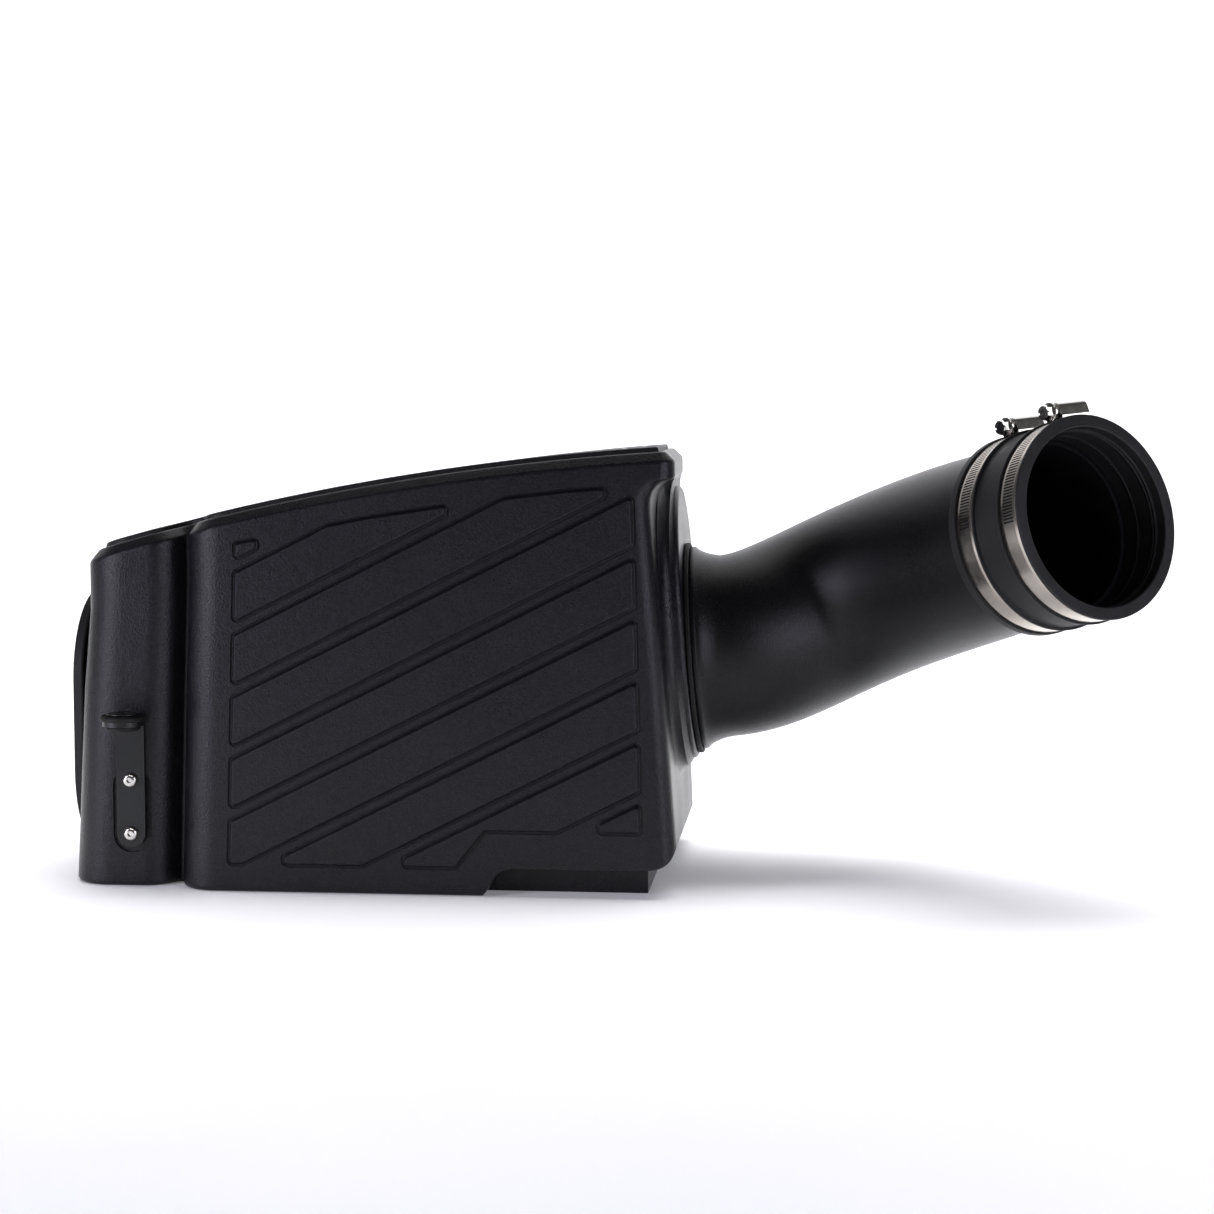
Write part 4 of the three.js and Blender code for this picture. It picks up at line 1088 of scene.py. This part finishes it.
# ---------- worm-drive clamps ----------
def grid_solid(name, across, along, filled, point):
    """A closed sheet from a grid of cells, some of them left open; point(a, b, side) places it."""
    columns, rows = len(across), len(along)
    verts = [point(a, b, side) for side in (0, 1) for a in across for b in along]

    def at(i, j, side):
        return (side * columns + i % columns) * rows + j

    faces = []
    for i in range(columns):
        for j in range(rows - 1):
            if not filled(i, j):
                continue
            faces.append((at(i, j, 1), at(i + 1, j, 1), at(i + 1, j + 1, 1), at(i, j + 1, 1)))
            faces.append((at(i, j, 0), at(i, j + 1, 0), at(i + 1, j + 1, 0), at(i + 1, j, 0)))
            neighbours = (
                ((i, j - 1), (i, j), (i + 1, j)), ((i, j + 1), (i + 1, j + 1), (i, j + 1)),
                ((i - 1, j), (i, j + 1), (i, j)), ((i + 1, j), (i + 1, j), (i + 1, j + 1)),
            )
            for (ni, nj), p, q in neighbours:
                if nj < 0 or nj >= rows - 1 or not filled(ni % columns, nj):
                    faces.append((at(*p, 0), at(*q, 0), at(*q, 1), at(*p, 1)))
    return mesh_object(name, verts, faces)


def clamp_band(name, radius, width, slots):
    """A rolled strip, slotted from the housing down one side."""
    outer = radius + BAND_THICKNESS
    slot_turn = SLOT_WIDTH / outer
    pitch_turn = SLOT_PITCH / outer
    first = 6.0 / outer
    angles, open_columns = [], set()
    for k in range(slots):
        angles += [first + k * pitch_turn, first + k * pitch_turn + slot_turn]
        open_columns.add(2 * k)
    last = angles[-1]
    plain = 150
    angles += [last + (2 * math.pi + first - last) * k / plain for k in range(1, plain)]
    edge = width / 2
    along = [-edge, -edge + 0.25, -SLOT_LENGTH / 2, SLOT_LENGTH / 2, edge - 0.25, edge]

    def point(angle, b, side):
        soft = 0.12 if abs(b) == edge else 0.0
        r = (outer - soft) if side else (radius + soft)
        return (r * math.cos(angle), r * math.sin(angle), b)

    return grid_solid(name, angles, along, lambda i, j: not (i in open_columns and j == 2), point)


def clamp_housing(name, band_outer):
    """A stamped arch over the worm, with feet folded beside the band."""
    base, worm = band_outer + GAP, band_outer + WORM_HEIGHT
    bore = WORM_RADIUS + 0.4
    cross = rounded_outline([
        (base - 4, 6.8, 0.4), (base - 4, -6.8, 0.4), (base + 1.6, -6.8, 0.8),
        (worm + 5, -5.4, 4.4), (worm + 5, 5.4, 4.4), (base + 1.6, 6.8, 0.8),
    ][::-1], 8)
    cross[:, 1] *= -1
    obj = front_prism(name, cross, HOUSING_HEAD, -HOUSING_TAIL)
    tunnel = rod("tunnel", bore, -20, 20, 48)
    transform(tunnel, worm_place(worm))
    combined(obj, [tunnel, rod("hose", base, -20, 20, 256)])
    return bevelled(obj, 0.45, 3, 30)


def worm_screw(name):
    """A worm along +Z with a slotted hexagon washer head."""
    low, high, segments = -WORM_TAIL, 9.4, 40
    rows = int((high - low) / SLOT_PITCH * 10)
    rings = []
    for k in range(rows + 1):
        z = low + (high - low) * k / rows
        ring = []
        for i in range(segments):
            angle = 2 * math.pi * i / segments
            phase = (z / SLOT_PITCH - i / segments) % 1.0
            ridge = min(1.0, max(0.0, 1.9 - 5.0 * abs(phase - 0.5)))
            taper = min(1.0, (z - low) / 0.8, (high - z) / 0.5 + 0.2)
            r = (WORM_RADIUS - THREAD_DEPTH + THREAD_DEPTH * ridge) * (0.82 + 0.18 * max(taper, 0.0))
            ring.append((r * math.cos(angle), r * math.sin(angle), z))
        rings.append(np.array(ring))
    thread = loft(name, rings)
    collar = turned("collar", softened([
        (0, 8.9), (2.6, 8.9), (2.6, 10.4), (5.7, 10.4), (5.7, 11.8), (0, 11.8),
    ], 0.35, 3), 64)
    flats = rod("hexagon", 4.6, 11.2, 16.6, 6)
    cone = turned("cone", [(0, 5), (9.5, 5), (9.5, 11.5), (3.9, 16.75), (0, 16.75)], 48)
    head = combined(flats, [cone], "INTERSECT")
    combined(thread, [collar, head], "UNION")
    slot = prism("slot", rounded_outline(rectangle_corners(-0.6, -6, 0.6, 6, 0.1), 1), 15.4, 18)
    return combined(thread, [slot])


def add_clamp(prefix, place, depth, radius, width, turn, slots, bodies):
    """Band, housing and screw of a clamp at a depth along the hose axis."""
    body, worm_body = bodies
    local = place @ turned_place(turn, depth)
    outer = radius + BAND_THICKNESS
    band = transform(clamp_band(f"{prefix}_band", radius, width, slots), local)
    shown(band, stainless, body, [f"{prefix}_band"], weighted=False)
    housing = transform(clamp_housing(f"{prefix}_housing", outer), local)
    shown(housing, bright_screw, body, [f"{prefix}_housing"])
    screw = transform(worm_screw(f"{prefix}_screw"), local @ worm_place(outer + WORM_HEIGHT))
    shown(screw, bright_screw, worm_body, [f"{prefix}_screw"], weighted=False)


def add_tube_and_coupler():
    shown(make_tube(), tube_plastic, "airbox", ["intake_tube"], weighted=False)
    shown(turned("coupler", coupler_profile(), 176, coupler_place), coupler_rubber, "airbox", ["coupler"])
    common = {"radius": COUPLER_BODY + GAP, "width": BAND_WIDTH, "turn": CLAMP_TURN}
    add_clamp("clamp_1", coupler_place, -47.4, slots=43, bodies=("airbox", "clamp_1_worm"), **common)
    add_clamp("clamp_2", coupler_place, -9.4, slots=45, bodies=("airbox", "clamp_2_worm"), **common)


# ---------- filter ----------
def pleat_ring(radius, height, lift):
    """Round-nosed pleat folds; lift moves the sheet inwards for its other side."""
    per_pleat = 12
    count = PLEATS * per_pleat
    wave = np.cos(full_turn(count) * PLEATS)
    shape = np.sign(wave) * np.abs(wave) ** 0.75
    return circle(radius - lift - PLEAT_DEPTH * (1 - shape) / 2, count, height)


def add_filter():
    base = FILTER_BASE - GAP
    flange = softened([
        (57.8, -12), (62.5, -12), (62.5, -44), (80, -44), (80, FILTER_BASE),
        (54, FILTER_BASE), (54, SPIGOT_END - 0.6), (57.8, SPIGOT_END - 0.6),
    ], 1.6, 5)
    obj = turned("filter_flange", flange, 128, port_place)
    shown(obj, urethane, "filter", ["filter_flange"])

    def cone(f):
        """Radius and depth of the pleats' tips at a fraction of the filter's length."""
        return (
            MEDIA_BASE_RADIUS + (MEDIA_END_RADIUS - MEDIA_BASE_RADIUS) * f,
            base + (FILTER_END - base) * f,
        )

    fractions = np.linspace(0, 1, 13)
    rings = [pleat_ring(*cone(f), 0.0) for f in fractions]
    rings += [pleat_ring(*cone(f), PLEAT_SKIN / 2) for f in fractions[::-1]]
    media = transform(loft("filter_media", rings, closed=True), port_place)
    shown(media, filter_cloth, "filter", ["filter_media"], smooth_angle=60)

    inner = PLEAT_DEPTH + PLEAT_SKIN + 0.5
    holes_round, holes_along = 48, 20
    angles = full_turn(2 * holes_round)
    along = np.linspace(0, 1, 2 * holes_along + 2)

    def core_point(angle, f, side):
        radius, depth = cone(f)
        r = radius - inner - (0 if side else 1)
        return (r * math.cos(angle), r * math.sin(angle), depth)

    def is_bar(i, j):
        return i % 2 == 0 or j % 2 == 0

    core = grid_solid("filter_core", list(angles), list(along), is_bar, core_point)
    shown(transform(core, port_place), wire, "filter", ["filter_core"], weighted=False)

    top = FILTER_END - GAP
    cap = softened([
        (0, top - 14), (44, top - 12), (58, top - 9), (64, top - 5), (64, top), (0, top),
    ], 3.0, 5)
    shown(turned("filter_end_cap", cap, 128, port_place), urethane, "filter", ["filter_end_cap"])
    add_clamp(
        "filter_clamp", port_place, -27, radius=62.8, width=12.7, turn=0.0, slots=60,
        bodies=("filter", "filter_clamp_worm"),
    )


# ---------- stage, light and camera ----------
def stage_material():
    g = Graph("stage_paper", "stage", Specular_IOR_Level=0.1, Emission_Strength=0.12)
    clouds = g.noise(3.0, 3.0)
    paper = g.ramp(clouds, ((0.3, (0.88, 0.88, 0.9)), (0.7, (0.92, 0.92, 0.93))))
    return g.feed(
        Base_Color=paper,
        Emission_Color=paper,
        Roughness=g.ranged(clouds, 0.3, 0.7, 0.85, 0.95),
    )


def add_stage():
    """A pale floor that curves up into a backdrop behind the object."""
    low, high = cad_box
    floor_z = low[2] / MM - 0.2
    reach, behind, curve, height = 4200.0, 1500.0, 700.0, 3400
    path = [(-reach, floor_z), (-800, floor_z), (behind - curve, floor_z)]
    path += [(behind - curve + curve * s, floor_z + curve * (1 - c)) for s, c in quarter(16)[1:]]
    path.append((behind, floor_z + height))
    verts, faces = [], []
    xs = np.linspace(-reach, reach, 9) + (low[0] + high[0]) / 2 / MM
    for y, z in path:
        verts.extend((x, y, z) for x in xs)
    for r in range(len(path) - 1):
        for k in range(len(xs) - 1):
            a = r * len(xs) + k
            faces.append((a, a + 1, a + 1 + len(xs), a + len(xs)))
    obj = mesh_object("floor", verts, faces)
    obj.data.materials.append(stage_material())
    obj.data.shade_smooth()
    return obj


def add_light(name, place, target, size, power, colour, spread):
    """A panel at a place and facing a target, both in metres from the object's middle."""
    middle = (cad_box[0] + cad_box[1]) / 2
    place, target = middle + Vector(place), middle + Vector(target)
    data = bpy.data.lights.new(name, "AREA")
    data.shape = "RECTANGLE"
    data.size, data.size_y = size
    data.energy = power
    data.color = colour
    data.spread = math.radians(spread)
    obj = bpy.data.objects.new(name, data)
    bpy.context.scene.collection.objects.link(obj)
    obj.location = place
    obj.rotation_euler = (target - place).to_track_quat("-Z", "Y").to_euler()
    return obj


def add_lights(floor):
    """Soft panels: some for everything, some for the floor alone, some for the clamps and screws alone."""
    white, cool = (1.0, 1.0, 1.0), (0.86, 0.84, 1.0)
    centre, clamps = (0, 0, 0), (0.27, -0.1, 0.14)
    steel = [
        obj for obj in bpy.context.scene.objects
        if obj.type == "MESH" and {stainless, bright_screw} & set(obj.data.materials)
    ]
    groups = {
        "everything": (None, [
            ("left_panel", (-1.15, -0.85, 0.1), centre, (0.35, 1.1), 13, cool, 180),
            ("front_right_panel", (1.0, -1.0, 0.1), centre, (0.3, 1.1), 9, cool, 180),
            ("right_panel", (1.25, 0.3, 0.0), centre, (0.9, 0.9), 1.0, cool, 180),
            ("top_panel", (0.0, 0.6, 1.3), centre, (1.6, 0.7), 4, white, 180),
        ]),
        "only_floor": ([floor], [
            ("backdrop_panel", (0, 0.2, 2.0), (0, 1.5, 0.4), (2.2, 0.8), 22, white, 110),
            ("floor_panel", (0, 0.3, 1.7), (0, 0.3, -0.2), (2.1, 1.2), 13, white, 100),
        ]),
        "only_steel": (steel, [
            ("steel_high_panel", (-0.1, -1.2, 1.3), clamps, (1.5, 0.5), 7, white, 180),
            ("steel_side_panel", (1.3, -0.2, 0.3), clamps, (0.9, 0.7), 6, white, 180),
        ]),
    }
    for group, (lit, panels) in groups.items():
        lights = [add_light(*panel) for panel in panels]
        if lit is None:
            continue
        receivers = bpy.data.collections.new(group)
        for obj in lit:
            receivers.objects.link(obj)
        for light in lights:
            light.light_linking.receiver_collection = receivers
    world = bpy.data.worlds.new("studio")
    world.use_nodes = True
    background = world.node_tree.nodes["Background"]
    background.inputs["Color"].default_value = (1, 1, 1, 1)
    background.inputs["Strength"].default_value = 0.07
    bpy.context.scene.world = world


def add_camera():
    middle = (cad_box[0] + cad_box[1]) / 2
    yaw, pitch, offset = math.radians(5.5), math.radians(-4.5), Vector((0.1419, -1.4935, 0.1383))
    level = math.cos(pitch)
    forward = Vector((-math.sin(yaw) * level, math.cos(yaw) * level, math.sin(pitch)))
    camera = bpy.data.cameras.new("camera")
    camera.lens, camera.sensor_width = 71.2, 36
    camera.clip_end = 30
    obj = bpy.data.objects.new("camera", camera)
    bpy.context.scene.collection.objects.link(obj)
    obj.location = middle + offset
    obj.rotation_euler = forward.to_track_quat("-Z", "Y").to_euler()
    bpy.context.scene.camera = obj


add_airbox()
add_bracket()
add_seals()
add_tube_and_coupler()
add_filter()
add_lights(add_stage())
add_camera()
bpy.context.scene.view_settings.view_transform = "Standard"
